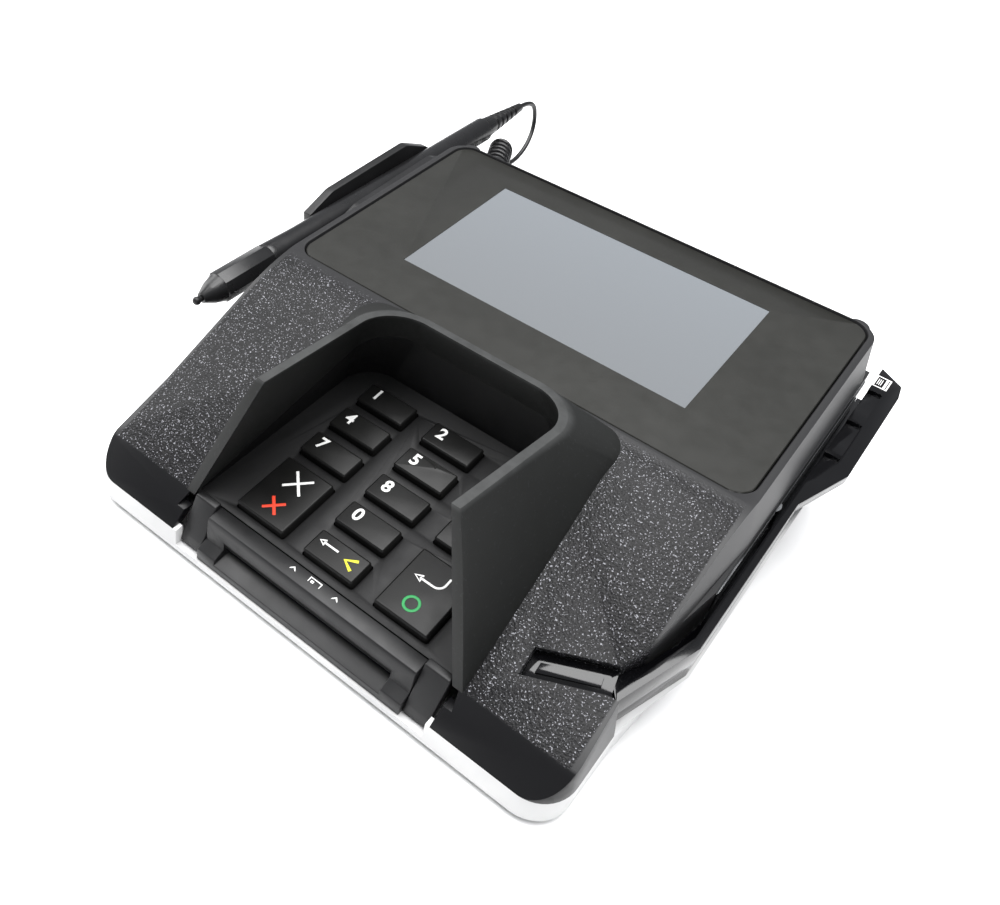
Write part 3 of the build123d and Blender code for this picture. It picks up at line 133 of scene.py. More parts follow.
def add_node(tree, kind, settings=None, inputs=None):
    """Add a node, give it settings, and fill its inputs with values or other nodes' outputs."""
    made = tree.nodes.new(kind)
    for key, value in (settings or {}).items():
        setattr(made, key, value)
    for key, value in (inputs or {}).items():
        if isinstance(value, bpy.types.NodeSocket):
            tree.links.new(value, made.inputs[key])
        else:
            made.inputs[key].default_value = value
    return made


def new_material(name):
    """An empty material with a Principled shader wired to its output."""
    made = bpy.data.materials.new(name)
    made.use_nodes = True
    tree = made.node_tree
    tree.nodes.clear()
    shader = add_node(tree, "ShaderNodeBsdfPrincipled")
    add_node(tree, "ShaderNodeOutputMaterial", inputs={"Surface": shader.outputs[0]})
    place = add_node(tree, "ShaderNodeTexCoord").outputs["Object"]
    return made, tree, shader, place


# %% [markdown]
# ## Plain moulded plastics
# A moulding is never one flat colour.  Its tool leaves a grain, its colour drifts a little
# over the part, and handling polishes some patches.  Three noises give those: a fine one for
# the bump, a broad one for the colour, and a middle one for the gloss.  The grain is given in
# millimetres, and a noise scale is one over that size in metres.

# %% Moulded finishes


def moulded(name, dark, light, rough, grain, depth, ior=1.49, metallic=0.0, specular=0.5):
    """A moulded or cast surface: two close colours, a roughness range and a grain in mm."""
    made, tree, shader, place = new_material(name)
    fine = add_node(tree, "ShaderNodeTexNoise", inputs={
        "Vector": place, "Scale": 1 / (grain * mm), "Detail": 3.0, "Roughness": 0.6})
    broad = add_node(tree, "ShaderNodeTexNoise", inputs={
        "Vector": place, "Scale": 1 / (22 * mm), "Detail": 2.0})
    middle = add_node(tree, "ShaderNodeTexNoise", inputs={
        "Vector": place, "Scale": 1 / (5 * mm), "Detail": 4.0})
    drift = add_node(tree, "ShaderNodeMapRange", inputs={
        "Value": broad.outputs[0], "From Min": 0.3, "From Max": 0.7})
    colour = add_node(tree, "ShaderNodeMix", {"data_type": "RGBA"}, {
        0: drift.outputs[0], 6: linear(dark), 7: linear(light)})
    gloss = add_node(tree, "ShaderNodeMapRange", inputs={
        "Value": middle.outputs[0], "From Min": 0.25, "From Max": 0.75,
        "To Min": rough[0], "To Max": rough[1]})
    bump = add_node(tree, "ShaderNodeBump", inputs={
        "Height": fine.outputs[0], "Strength": 0.6, "Distance": depth * mm})
    tree.links.new(colour.outputs[2], shader.inputs["Base Color"])
    tree.links.new(gloss.outputs[0], shader.inputs["Roughness"])
    tree.links.new(bump.outputs[0], shader.inputs["Normal"])
    shader.inputs["IOR"].default_value = ior if metallic == 0 else 1.5
    shader.inputs["Metallic"].default_value = metallic
    shader.inputs["Specular IOR Level"].default_value = specular
    return made


# Glossy ABS, mirror polished in the tool: black, with sharp reflections of the softboxes.
polished_abs = moulded("polished_abs", "#08080a", "#0c0c0e", (0.07, 0.14), 0.9, 0.002, 1.53)
# Silver painted ABS of the base: pale, satin, with a very fine paint grain.
silver_paint = moulded("silver_painted_abs", "#c9c9c9", "#d8d8d7", (0.30, 0.42), 0.25, 0.01)
# Dark ABS hooks and glands, lightly textured.
dark_abs = moulded("dark_moulded_abs", "#161617", "#1d1d1e", (0.36, 0.48), 0.35, 0.012,
                   specular=0.4)
# Keys: silicone rubber with a hard matt coat, fine grained, bright only along its edges.
coated_silicone = moulded("coated_silicone", "#0e0e0e", "#141413", (0.34, 0.44), 0.3, 0.008,
                          1.43, specular=0.35)
# Floor and walls of the keypad well: black ABS with a spark-eroded matt grain.
eroded_abs = moulded("spark_eroded_abs", "#0a0a0b", "#101011", (0.44, 0.58), 0.4, 0.02,
                     specular=0.3)
# The pen: satin black ABS that fingers have polished.
pen_abs = moulded("pen_satin_abs", "#121213", "#1a1a1b", (0.24, 0.34), 0.5, 0.004)
# The cord's jacket: flexible polyurethane, slightly shiny.
cord_jacket = moulded("polyurethane_jacket", "#0f0f10", "#171718", (0.28, 0.38), 0.6, 0.006)
# Feet: soft black rubber.
foot_rubber = moulded("foot_rubber", "#121212", "#1b1b1b", (0.72, 0.86), 0.5, 0.02, 1.52)
print("moulded finishes made")

# %% [markdown]
# ## Metals and boards inside
# Little of the inside shows, but it is there when a housing is lifted off.  Metals take their
# colour in the base colour and keep the default IOR.

# %% Inner finishes
zinc_steel = moulded("zinc_plated_steel", "#b4b4b0", "#c2c2be", (0.25, 0.38), 0.2, 0.004, metallic=1)
drawn_steel = moulded("drawn_stainless_steel", "#c9cbcc", "#dcddde", (0.16, 0.26), 0.3, 0.003,
                      metallic=1)
turned_brass = moulded("turned_brass", "#c19a55", "#cda860", (0.22, 0.34), 0.2, 0.003, metallic=1)
gold_flash = moulded("gold_flashed_contact", "#d8ae58", "#e2bb6a", (0.18, 0.26), 0.2, 0.002,
                     metallic=1)
solder_mask = moulded("green_solder_mask", "#0d4a2a", "#115632", (0.28, 0.40), 0.8, 0.008)
epoxy_chip = moulded("moulding_epoxy", "#151516", "#1d1d1e", (0.5, 0.62), 0.2, 0.01)
nylon_socket = moulded("natural_nylon", "#d5cdb8", "#dfd8c6", (0.4, 0.5), 0.5, 0.006)
polyimide = moulded("polyimide_film", "#9a5a22", "#a8662a", (0.22, 0.32), 0.8, 0.003)
grey_silicone = moulded("grey_silicone", "#77777a", "#838386", (0.5, 0.62), 0.5, 0.01)
closed_foam = moulded("closed_cell_foam", "#1c1c1c", "#262626", (0.8, 0.92), 0.4, 0.04)
print("inner finishes made")

# %% [markdown]
# ## The grained wings
# The sloped wings are moulded in charcoal ABS with a coarse spark-eroded grain.  Its small bright
# glints are painted highlights: light grey specks mixed into the base colour.  The grain stops in a
# clean line above the front skirt and along the side face, and fades out just before the display's
# smooth border.  Three masks along the housing's own axes say where it is.  Off the grained wings,
# the side face and the display's border are painted a lighter grey, a painted sheen.  The painted
# glints come from a sharpened noise about half a millimetre across, which is near the size of the
# real grain, and a Voronoi pattern cuts pits into the grain's bump.

# %% Grained housing finish


def grained_housing():
    """Charcoal ABS with a spark-eroded grain and painted glints on the wings, and a satin finish
    with a painted sheen elsewhere.
    """
    made, tree, shader, place = new_material("charcoal_abs_grained")
    axes = add_node(tree, "ShaderNodeSeparateXYZ", inputs={0: place})
    across = add_node(tree, "ShaderNodeMath", {"operation": "ABSOLUTE"}, {
        0: axes.outputs["X"]})
    side = add_node(tree, "ShaderNodeMapRange", {"interpolation_type": "SMOOTHSTEP"}, {
        "Value": across.outputs[0], "From Min": 0.0741, "From Max": 0.0747,
        "To Min": 1.0, "To Max": 0.0})
    front = add_node(tree, "ShaderNodeMapRange", {"interpolation_type": "SMOOTHSTEP"}, {
        "Value": axes.outputs["Y"], "From Min": -0.0749, "From Max": -0.0744})
    back = add_node(tree, "ShaderNodeMapRange", {"interpolation_type": "SMOOTHSTEP"}, {
        "Value": axes.outputs["Y"], "From Min": -0.0115, "From Max": -0.0075,
        "To Min": 1.0, "To Max": 0.0})
    two = add_node(tree, "ShaderNodeMath", {"operation": "MULTIPLY"}, {
        0: side.outputs[0], 1: front.outputs[0]})
    mask = add_node(tree, "ShaderNodeMath", {"operation": "MULTIPLY"}, {
        0: two.outputs[0], 1: back.outputs[0]})
    grain = add_node(tree, "ShaderNodeTexNoise", inputs={
        "Vector": place, "Scale": 1 / (0.46 * mm), "Detail": 1.5, "Roughness": 0.6})
    pits = add_node(tree, "ShaderNodeTexVoronoi", inputs={
        "Vector": place, "Scale": 1 / (0.7 * mm)})
    # Painted glints: light grey specks mixed into the base colour where the grain noise peaks.
    glint = add_node(tree, "ShaderNodeMapRange", inputs={
        "Value": grain.outputs[0], "From Min": 0.615, "From Max": 0.69})
    shine = add_node(tree, "ShaderNodeMath", {"operation": "MULTIPLY"}, {
        0: glint.outputs[0], 1: mask.outputs[0]})
    broad = add_node(tree, "ShaderNodeTexNoise", inputs={
        "Vector": place, "Scale": 1 / (30 * mm), "Detail": 2.0})
    wing = add_node(tree, "ShaderNodeMix", {"data_type": "RGBA"}, {
        0: broad.outputs[0], 6: linear("#08080a"), 7: linear("#0e0e10")})
    # Painted sheen: off the grained wings, the side face and the display's border are painted a
    # lighter grey.
    painted_sheen_band = add_node(tree, "ShaderNodeMath", {"operation": "SUBTRACT"}, {
        0: front.outputs[0], 1: mask.outputs[0]})
    plain = add_node(tree, "ShaderNodeMix", {"data_type": "RGBA"}, {
        0: painted_sheen_band.outputs[0], 6: wing.outputs[2], 7: linear("#2c2c2d")})
    colour = add_node(tree, "ShaderNodeMix", {"data_type": "RGBA"}, {
        0: shine.outputs[0], 6: plain.outputs[2], 7: linear("#96969c")})
    rough = add_node(tree, "ShaderNodeMapRange", inputs={
        "Value": mask.outputs[0], "To Min": 0.36, "To Max": 0.52})
    height = add_node(tree, "ShaderNodeMath", {"operation": "SUBTRACT"}, {
        0: grain.outputs[0], 1: pits.outputs["Distance"]})
    cut = add_node(tree, "ShaderNodeMath", {"operation": "MULTIPLY"}, {
        0: height.outputs[0], 1: mask.outputs[0]})
    satin = add_node(tree, "ShaderNodeTexNoise", inputs={
        "Vector": place, "Scale": 1 / (0.3 * mm), "Detail": 2.0})
    soft = add_node(tree, "ShaderNodeBump", inputs={
        "Height": satin.outputs[0], "Strength": 0.5, "Distance": 0.006 * mm})
    bump = add_node(tree, "ShaderNodeBump", inputs={
        "Height": cut.outputs[0], "Strength": 1.0, "Distance": 0.12 * mm,
        "Normal": soft.outputs[0]})
    tree.links.new(colour.outputs[2], shader.inputs["Base Color"])
    tree.links.new(rough.outputs[0], shader.inputs["Roughness"])
    tree.links.new(bump.outputs[0], shader.inputs["Normal"])
    shader.inputs["IOR"].default_value = 1.54
    shader.inputs["Specular IOR Level"].default_value = 0.28
    return made


charcoal_abs = grained_housing()
print("grained housing finish made")

# %% [markdown]
# ## The soft hood
# The privacy hood is a flexible thermoplastic elastomer with a dry, soft-touch surface.  It is a
# shade lighter than the housing, and its colour is paler towards the top of its rim.  The paler part
# follows the height of the rim, broken up by a noise so that it doesn't look painted on.

# %% Hood finish


def soft_touch_hood():
    """Soft-touch elastomer, paler towards its rim."""
    made, tree, shader, place = new_material("soft_touch_elastomer")
    axes = add_node(tree, "ShaderNodeSeparateXYZ", inputs={0: place})
    mottle = add_node(tree, "ShaderNodeTexNoise", inputs={
        "Vector": place, "Scale": 1 / (7 * mm), "Detail": 5.0, "Roughness": 0.65})
    dust = add_node(tree, "ShaderNodeTexNoise", inputs={
        "Vector": place, "Scale": 1 / (0.8 * mm), "Detail": 2.0})
    # The colour is paler towards the top of the rim, broken up by a noise.
    rim = add_node(tree, "ShaderNodeMapRange", {"interpolation_type": "SMOOTHSTEP"}, {
        "Value": axes.outputs["Z"], "From Min": 0.0585, "From Max": 0.0602})
    paler_rim = add_node(tree, "ShaderNodeMath", {"operation": "MULTIPLY"}, {
        0: rim.outputs[0], 1: mottle.outputs[0]})
    body = add_node(tree, "ShaderNodeMix", {"data_type": "RGBA"}, {
        0: mottle.outputs[0], 6: linear("#131413"), 7: linear("#1a1b1a")})
    specks = add_node(tree, "ShaderNodeMapRange", inputs={
        "Value": dust.outputs[0], "From Min": 0.62, "From Max": 0.8, "To Max": 0.16})
    dusted = add_node(tree, "ShaderNodeMix", {"data_type": "RGBA"}, {
        0: specks.outputs[0], 6: body.outputs[2], 7: linear("#55565a")})
    colour = add_node(tree, "ShaderNodeMix", {"data_type": "RGBA"}, {
        0: paler_rim.outputs[0], 6: dusted.outputs[2], 7: linear("#4a4b4b")})
    grain = add_node(tree, "ShaderNodeTexNoise", inputs={
        "Vector": place, "Scale": 1 / (0.35 * mm), "Detail": 3.0})
    bump = add_node(tree, "ShaderNodeBump", inputs={
        "Height": grain.outputs[0], "Strength": 0.6, "Distance": 0.02 * mm})
    tree.links.new(colour.outputs[2], shader.inputs["Base Color"])
    tree.links.new(bump.outputs[0], shader.inputs["Normal"])
    shader.inputs["Roughness"].default_value = 0.58
    shader.inputs["IOR"].default_value = 1.48
    shader.inputs["Specular IOR Level"].default_value = 0.4
    return made


hood_elastomer = soft_touch_hood()
print("hood finish made")

# %% [markdown]
# ## Lens and screen
# The lens is a hard-coated sheet with a dark print behind it, matt enough to hide fingerprints.
# Under its window the unlit screen is pale blue grey, painted a little lighter towards the back: a
# painted reflection of the ceiling, which the screen looks up at there.

# %% Lens and screen finishes
lens_coat = moulded("hard_coated_lens", "#20201d", "#262623", (0.33, 0.41), 0.28, 0.006, 1.5)


def unlit_screen():
    """Pale unlit display under its polariser, with a painted reflection that makes it a little
    brighter to the back.
    """
    made, tree, shader, place = new_material("unlit_lcd_polariser")
    axes = add_node(tree, "ShaderNodeSeparateXYZ", inputs={0: place})
    # Painted reflection of the ceiling: the colour is lighter towards the back.
    painted_reflection_ramp = add_node(tree, "ShaderNodeMapRange", inputs={
        "Value": axes.outputs["Y"], "From Min": 0.012, "From Max": 0.065})
    cells = add_node(tree, "ShaderNodeTexNoise", inputs={
        "Vector": place, "Scale": 1 / (0.2 * mm), "Detail": 1.0})
    shade = add_node(tree, "ShaderNodeMix", {"data_type": "RGBA"}, {
        0: painted_reflection_ramp.outputs[0], 6: linear("#6c6f72"), 7: linear("#72767a")})
    bump = add_node(tree, "ShaderNodeBump", inputs={
        "Height": cells.outputs[0], "Strength": 0.4, "Distance": 0.002 * mm})
    tree.links.new(shade.outputs[2], shader.inputs["Base Color"])
    tree.links.new(bump.outputs[0], shader.inputs["Normal"])
    shader.inputs["Roughness"].default_value = 0.28
    shader.inputs["IOR"].default_value = 1.5
    return made


screen_polariser = unlit_screen()
print("lens and screen finishes made")

# %% [markdown]
# ## Inks
# Legends are pad printed.  An ink film is matt and very slightly uneven at its edges, so each
# colour is a moulded finish with a fine grain.

# %% Ink finishes
white_ink = moulded("white_pad_print", "#e6e6e4", "#f2f2f0", (0.45, 0.55), 0.3, 0.004)
red_ink = moulded("red_pad_print", "#d8351c", "#e04426", (0.45, 0.55), 0.3, 0.004)
yellow_ink = moulded("yellow_pad_print", "#d9d51c", "#e6e22c", (0.45, 0.55), 0.3, 0.004)
green_ink = moulded("green_pad_print", "#0c8a43", "#129a4e", (0.45, 0.55), 0.3, 0.004)
print("inks made")

# %% [markdown]
# ## Rounding the CAD pieces
# A CAD shape has knife-sharp edges, but a moulding never has.  A copy of the CAD mesh is
# joined into one skin, its flat faces are cleaned up, and a Bevel modifier rounds every edge
# sharper than a set angle.  The copy then stands for the CAD node.

# %% Soften a CAD node


def dress(piece, node, material):
    """The piece stands for a CAD node, moves with its body and wears a material."""
    piece.data.materials.clear()
    piece.data.materials.append(material)
    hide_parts(node)
    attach(piece, body_of_node[node])
    return piece


def joined_copy(node, name):
    """A copy of a CAD node with its triangles joined and its flat faces made whole."""
    source = frame["nodes"][node]
    piece = bpy.data.objects.new(name, source.data.copy())
    bpy.context.scene.collection.objects.link(piece)
    only(piece)
    bpy.ops.object.mode_set(mode="EDIT")
    bpy.ops.mesh.select_all(action="SELECT")
    bpy.ops.mesh.remove_doubles(threshold=0.000004)
    bpy.ops.mesh.dissolve_limited(angle_limit=math.radians(0.6))
    bpy.ops.object.mode_set(mode="OBJECT")
    return piece


def soften(node, name, width, material, segments=2, angle=32):
    """A CAD node with its edges rounded by a width in mm."""
    piece = joined_copy(node, name)
    bevel = piece.modifiers.new("edge_radius", "BEVEL")
    bevel.width = width * mm
    bevel.segments = segments
    bevel.limit_method = "ANGLE"
    bevel.angle_limit = math.radians(angle)
    bevel.use_clamp_overlap = True
    bevel.harden_normals = False
    bpy.ops.object.modifier_apply(modifier=bevel.name)
    bpy.ops.object.shade_smooth_by_angle(angle=math.radians(38))
    return dress(piece, node, material)


# %% [markdown]
# ## The housing
# The charcoal upper shell and the silver tray under it meet along one seam.  Their rounded
# edges catch a thin line of light, which is what makes the seam readable.

# %% Housing halves
shell = soften("top_housing", "upper_shell", 0.45, charcoal_abs, segments=2, angle=25)
tray = soften("bottom_housing", "base_tray", 0.4, silver_paint, segments=2, angle=30)
print("shell", len(shell.data.polygons), "tray", len(tray.data.polygons))

# %% [markdown]
# ## Lens with its screen window
# The lens is one sheet.  A shallow window is cut where the screen shows, and the screen is a
# thin slab just under the surface, so that its edge is a real step that the light finds.

# %% Lens and screen
screen_width, screen_depth, screen_setback = 95.0, 53.9, 18.2
lens = joined_copy("lens_panel", "display_lens")
bpy.ops.object.select_all(action="DESELECT")
bpy.ops.mesh.primitive_cube_add(size=1.0)
window = bpy.context.object
window.name = "window_cutter"
window.dimensions = (screen_width * mm, screen_depth * mm, 0.5 * mm)
settle(window, display_plane
       @ Matrix.Translation((0, (screen_setback + screen_depth / 2) * mm, 0))
       @ Matrix.Diagonal((screen_width * mm, screen_depth * mm, 0.5 * mm, 1)))
only(lens)
cut = lens.modifiers.new("window", "BOOLEAN")
cut.operation = "DIFFERENCE"
cut.solver = "EXACT"
cut.object = window
bpy.ops.object.modifier_apply(modifier=cut.name)
bpy.data.objects.remove(window)
bpy.ops.object.shade_smooth_by_angle(angle=math.radians(30))
dress(lens, "lens_panel", lens_coat)

bpy.ops.object.select_all(action="DESELECT")
bpy.ops.mesh.primitive_plane_add(size=1.0)
screen = bpy.context.object
screen.name = "screen_face"
bpy.ops.object.mode_set(mode="EDIT")
bpy.ops.mesh.select_all(action="SELECT")
bpy.ops.transform.resize(value=((screen_width - 0.1) * mm, (screen_depth - 0.1) * mm, 1))
bpy.ops.mesh.extrude_region_move(TRANSFORM_OT_translate={"value": (0, 0, 0.14 * mm)})
bpy.ops.mesh.select_all(action="SELECT")
bpy.ops.mesh.normals_make_consistent(inside=False)
bpy.ops.object.mode_set(mode="OBJECT")
settle(screen, display_plane
       @ Matrix.Translation((0, (screen_setback + screen_depth / 2) * mm, -0.24 * mm)))
screen.data.materials.append(screen_polariser)
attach(screen, "terminal")
print("lens", len(lens.data.polygons), "screen", [round(d, 4) for d in screen.dimensions])

# %% [markdown]
# ## Hood, clips and keypad well
# The hood is the softest piece, so its edges are rounded most.  The clips and the card slot
# trim are crisper mouldings.

# %% Hood and front pieces
hood = soften("privacy_shield", "privacy_hood", 0.7, hood_elastomer, segments=3, angle=24)
for side in ("left", "right"):
    soften(f"shield_clip_{side}", f"hood_clip_{side}", 0.35, dark_abs)
soften("card_slot_trim", "chip_slot_trim", 0.25, dark_abs)
soften("keypad_bezel", "keypad_well", 0.2, eroded_abs)
print("hood", len(hood.data.polygons))

# %% [markdown]
# ## Keys
# Each key is a coated rubber cap.  Its top edge is rounded by a few tenths of a millimetre and
# shows as a fine bright line, the only thing that parts black keys from a black floor.

# %% Key caps
key_nodes = [node for node in body_of_node if node.startswith("key_")]
key_places = {}
for node in key_nodes:
    soften(node, node.replace("key_", "cap_"), 0.18, coated_silicone, segments=2, angle=20)
    low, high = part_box(node)
    centre = (Vector(low) + Vector(high)) / 2
    key_places[node] = keypad_plane.inverted() @ centre
print(len(key_nodes), "key caps")

# %% [markdown]
# ## Legends
# A printed mark is a thin film with round-ended strokes.  A stroke is a poly curve with a
# round bevel, turned to mesh and then squashed flat, which keeps the round ends.  Digits come
# from Blender's own font.  Each mark is settled on its key's top and rides with it.

# %% Stroke and text helpers
film = 0.05 * mm


def stroke(name, points, width, closed=False):
    """A flat round-ended line through points in mm, as a mesh in its own plane."""
    line = bpy.data.curves.new(name, "CURVE")
    line.dimensions = "3D"
    line.bevel_depth = width / 2 * mm
    line.bevel_resolution = 2
    line.use_fill_caps = True
    spline = line.splines.new("POLY")
    spline.points.add(len(points) - 1)
    for place, (x, y) in zip(spline.points, points):
        place.co = (x * mm, y * mm, 0, 1)
    spline.use_cyclic_u = closed
    mark = bpy.data.objects.new(name, line)
    bpy.context.scene.collection.objects.link(mark)
    only(mark)
    bpy.ops.object.convert(target="MESH")
    mark = bpy.context.object
    bpy.ops.object.mode_set(mode="EDIT")
    bpy.ops.mesh.select_all(action="SELECT")
    bpy.ops.transform.resize(value=(1, 1, film / (width * mm)))
    bpy.ops.object.mode_set(mode="OBJECT")
    return mark


def lettering(name, words, height, bold=0.0):
    """Words as a thin mesh, centred, with digits of a height in mm."""
    bpy.ops.object.select_all(action="DESELECT")
    bpy.ops.object.text_add()
    mark = bpy.context.object
    mark.name = name
    mark.data.body = words
    mark.data.size = height / 0.69 * mm
    mark.data.align_x = "CENTER"
    mark.data.align_y = "CENTER"
    mark.data.offset = bold * mm
    mark.data.extrude = film / 2
    mark.data.resolution_u = 6
    bpy.ops.object.convert(target="MESH")
    return bpy.context.object


def print_on(mark, plane, x, y, lift, body, ink, slot_name):
    """Settle a mark on a plane at a place in mm, and give it its ink."""
    settle(mark, plane @ Matrix.Translation((x * mm, y * mm, lift)))
    mark.data.materials.clear()
    mark.data.materials.append(ink)
    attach(mark, body)
    return mark


def on_key(mark, node, x, y, ink):
    """Print a mark on a key's top, at a place from the key's own middle."""
    spot = key_places[node]
    return print_on(mark, keypad_plane, spot.x / mm + x, spot.y / mm + y,
                    key_rise + film * 0.45, body_of_node[node], ink, "key_rubber")


# %% Digits
for digit in range(10):
    on_key(lettering(f"digit_{digit}", str(digit), 3.7, 0.14), f"key_{digit}", -4.2, 0.4,
           white_ink)
print("ten digits")

# %% [markdown]
# The function keys carry drawn signs as well as colour, so that they can be told apart by a
# person who doesn't see red, yellow and green: crosses to cancel, arrows to clear, and a
# return arrow with a ring to confirm.

# %% Function signs
cross = [(-1, -1), (1, 1)]
for turn, sign in enumerate((1, -1)):
    white_cross = [(x * 3.0, y * sign * 3.0) for x, y in cross]
    on_key(stroke(f"cancel_white_{turn}", white_cross, 0.85), "key_cancel", 0.4, 3.9, white_ink)
    red_cross = [(x * 2.2, y * sign * 2.2) for x, y in cross]
    on_key(stroke(f"cancel_red_{turn}", red_cross, 0.95), "key_cancel", 0.4, -5.3, red_ink)

on_key(stroke("clear_arrow_shaft", [(-1.6, 0), (3.2, 0)], 0.6), "key_clear", -3.6, 0.5, white_ink)
on_key(stroke("clear_arrow_head", [(-1.2, 0.8), (-2.8, 0.0), (-1.2, -0.8), (-1.3, 0.0)], 0.55),
       "key_clear", -3.6, 0.5, white_ink)
on_key(stroke("clear_chevron", [(1.6, 1.7), (-1.5, 0), (1.6, -1.7)], 0.95), "key_clear", 3.9,
       -0.2, yellow_ink)

hook = [(-2.2, 0), (2.0, 0)]
hook += [(2.0 + 2.2 * math.sin(a), 2.2 - 2.2 * math.cos(a)) for a in
         [math.radians(step) for step in range(15, 91, 15)]]
hook += [(4.2, 4.4)]
on_key(stroke("enter_arrow_shaft", hook, 0.65), "key_enter", -1.2, 1.8, white_ink)
on_key(stroke("enter_arrow_head", [(-1.6, 0.9), (-3.7, 0.0), (-1.6, -0.9), (-1.8, 0.0)], 0.6),
       "key_enter", -1.2, 1.8, white_ink)
ring = [(2.0 * math.cos(a), 2.0 * math.sin(a)) for a in
        [math.radians(step) for step in range(0, 360, 10)]]
on_key(stroke("enter_ring", ring, 0.8, closed=True), "key_enter", -0.4, -5.3, green_ink)
print("function signs")

# %% [markdown]
# ## Card signs
# Small printed cards show where a card goes in: one with an arrowhead each side on the chip
# slot's trim, and one at the start of the swipe track.

# %% Card signs
trim_plane = slope(12.9, -73.2, 17.5)


def card_outline(width, height):
    """The four corners of a small card, in mm."""
    return [(-width / 2, -height / 2), (width / 2, -height / 2),
            (width / 2, height / 2), (-width / 2, height / 2)]


trim_lift = film * 0.6
for x in (-7.0, 7.0):
    print_on(stroke("slot_chevron_" + ("left" if x < 0 else "right"),
                    [(-1.6, -0.8), (0, 0.8), (1.6, -0.8)], 0.55),
             trim_plane, x, -2.2, trim_lift, "terminal", white_ink, "dark_clip")
print_on(stroke("slot_card", card_outline(3.6, 2.3), 0.4, closed=True), trim_plane, 0, -2.0,
         trim_lift, "terminal", white_ink, "dark_clip")
print_on(stroke("slot_card_chip", card_outline(0.7, 0.5), 0.4, closed=True), trim_plane, -0.7,
         -1.8, trim_lift, "terminal", white_ink, "dark_clip")
print("slot signs")

# %% Swipe track signs
track_top = 12.6 * mm + film * 0.5
card_spot = (83.2, 88.3)
print_on(stroke("swipe_card", card_outline(4.0, 5.2), 0.7, closed=True), seam_plane, *card_spot,
         track_top, "terminal", white_ink, "gloss_rail")
print_on(stroke("swipe_card_stripe", [(0, -2.2), (0, 2.2)], 0.8), seam_plane,
         card_spot[0] + 1.1, card_spot[1], track_top, "terminal", white_ink, "gloss_rail")
for line in range(3):
    print_on(stroke(f"swipe_card_line_{line}", [(0, -1.5), (0, 1.5)], 0.25), seam_plane,
             card_spot[0] - 1.2 + 0.55 * line, card_spot[1], track_top, "terminal", white_ink,
             "gloss_rail")
print("swipe signs")

# %% [markdown]
# ## Swipe track
# The rail is the only mirror-polished piece.  It stays as CAD made it, apart from rounded
# edges, because its long straight lines are what the eye follows.

# %% Swipe rail
rail = soften("swipe_rail", "swipe_track_rail", 0.3, polished_abs, segments=2, angle=30)
print("rail", len(rail.data.polygons))

# %% [markdown]
# ## Pen and cradle
# The pen has a faceted grip, a barrel that tapers into it and a ribbed tail.  The cradle holds
# it by the barrel, with one wall outside it.

# %% Pen pieces
soften("stylus_tip", "pen_tip", 0.1, dark_abs)
soften("stylus_grip", "pen_grip", 0.4, pen_abs, segments=3, angle=15)
soften("stylus_barrel", "pen_barrel", 0.2, pen_abs)
soften("stylus_tail", "pen_tail", 0.15, cord_jacket)
soften("stylus_holder", "pen_cradle", 0.5, dark_abs, segments=3)
soften("tether_anchor", "tether_gland", 0.6, dark_abs, segments=3)
print("pen pieces")

# %% [markdown]
# ## Coiled tether
# The tether is one thin cord: it bends away from the pen's tail, swings under it and winds into
# a short open coil that starts at the gland.  The coil's middle line and the lead are NURBS
# splines through the same points as the CAD solids.

# %% Tether route
gland_face = Vector((-69.0, 94.0, 55.0))
coil_end = Vector((-78.6, 113.0, 54.2))
coil_axis = gland_face - coil_end
pen_tilt = math.radians(8)
tail_direction = Vector((0, math.cos(pen_tilt), math.sin(pen_tilt)))
tail_end = Vector((-84.6, 131.336, 65.151))
tail_straight = 10.2
lead_exit = tail_end + tail_direction * tail_straight
tether_diameter = 1.8
print("coil line", round(coil_axis.length, 1), "mm long")


def spline_points(points, resolution=32):
    """Points in mm along the smooth NURBS line through a route."""
    curve = bpy.data.curves.new("route", "CURVE")
    curve.dimensions = "3D"
    curve.resolution_u = resolution
    spline = curve.splines.new("NURBS")
    spline.points.add(len(points) - 1)
    for place, point in zip(spline.points, points):
        place.co = (*(point * mm), 1)
    spline.order_u = 3
    spline.use_endpoint_u = True
    holder = bpy.data.objects.new("route", curve)
    bpy.context.scene.collection.objects.link(holder)
    bpy.context.view_layer.update()
    line = bpy.data.meshes.new_from_object(holder)
    found = [vertex.co / mm for vertex in line.vertices]
    bpy.data.objects.remove(holder)
    return found


# %% [markdown]
# The turns are loose, so daylight shows between them.  Each point of the coil's middle line is
# pushed sideways by the coil's radius.  The coil ends halfway round a turn, where the cord
# already runs downward, and the lead takes over from there without a kink.

# %% Wind the coil
coil_turns = 5.5
coil_outside = 9.4
coil_radius = coil_outside / 2 - tether_diameter / 2
steps_a_turn = 24
coil_steps = int(coil_turns * steps_a_turn)
middle_line = spline_points([gland_face, (gland_face + coil_end) / 2, coil_end], coil_steps // 2)
axis = -coil_axis.normalized()
across = axis.cross(Vector((0, 0, 1))).normalized()
up = across.cross(axis)
wound = []
for step in range(coil_steps + 1):
    share = step / coil_steps * (len(middle_line) - 1)
    before = min(int(share), len(middle_line) - 2)
    middle = middle_line[before].lerp(middle_line[before + 1], share - before)
    angle = 2 * math.pi * step / steps_a_turn
    wound.append(middle + (across * math.cos(angle) + up * math.sin(angle)) * coil_radius)
leaving = (wound[-1] - wound[-2]).normalized()
coil_straight = 8.0
lead_points = [
    wound[-1],
    wound[-1] + leaving * coil_straight,
    Vector((-80.4, 126.0, 43.6)),
    Vector((-81.0, 138.0, 48.4)),
    Vector((-83.4, 145.2, 56.4)),
    lead_exit,
    tail_end,
]
lead_line = spline_points(lead_points)
tether_path = wound + lead_line[1:]
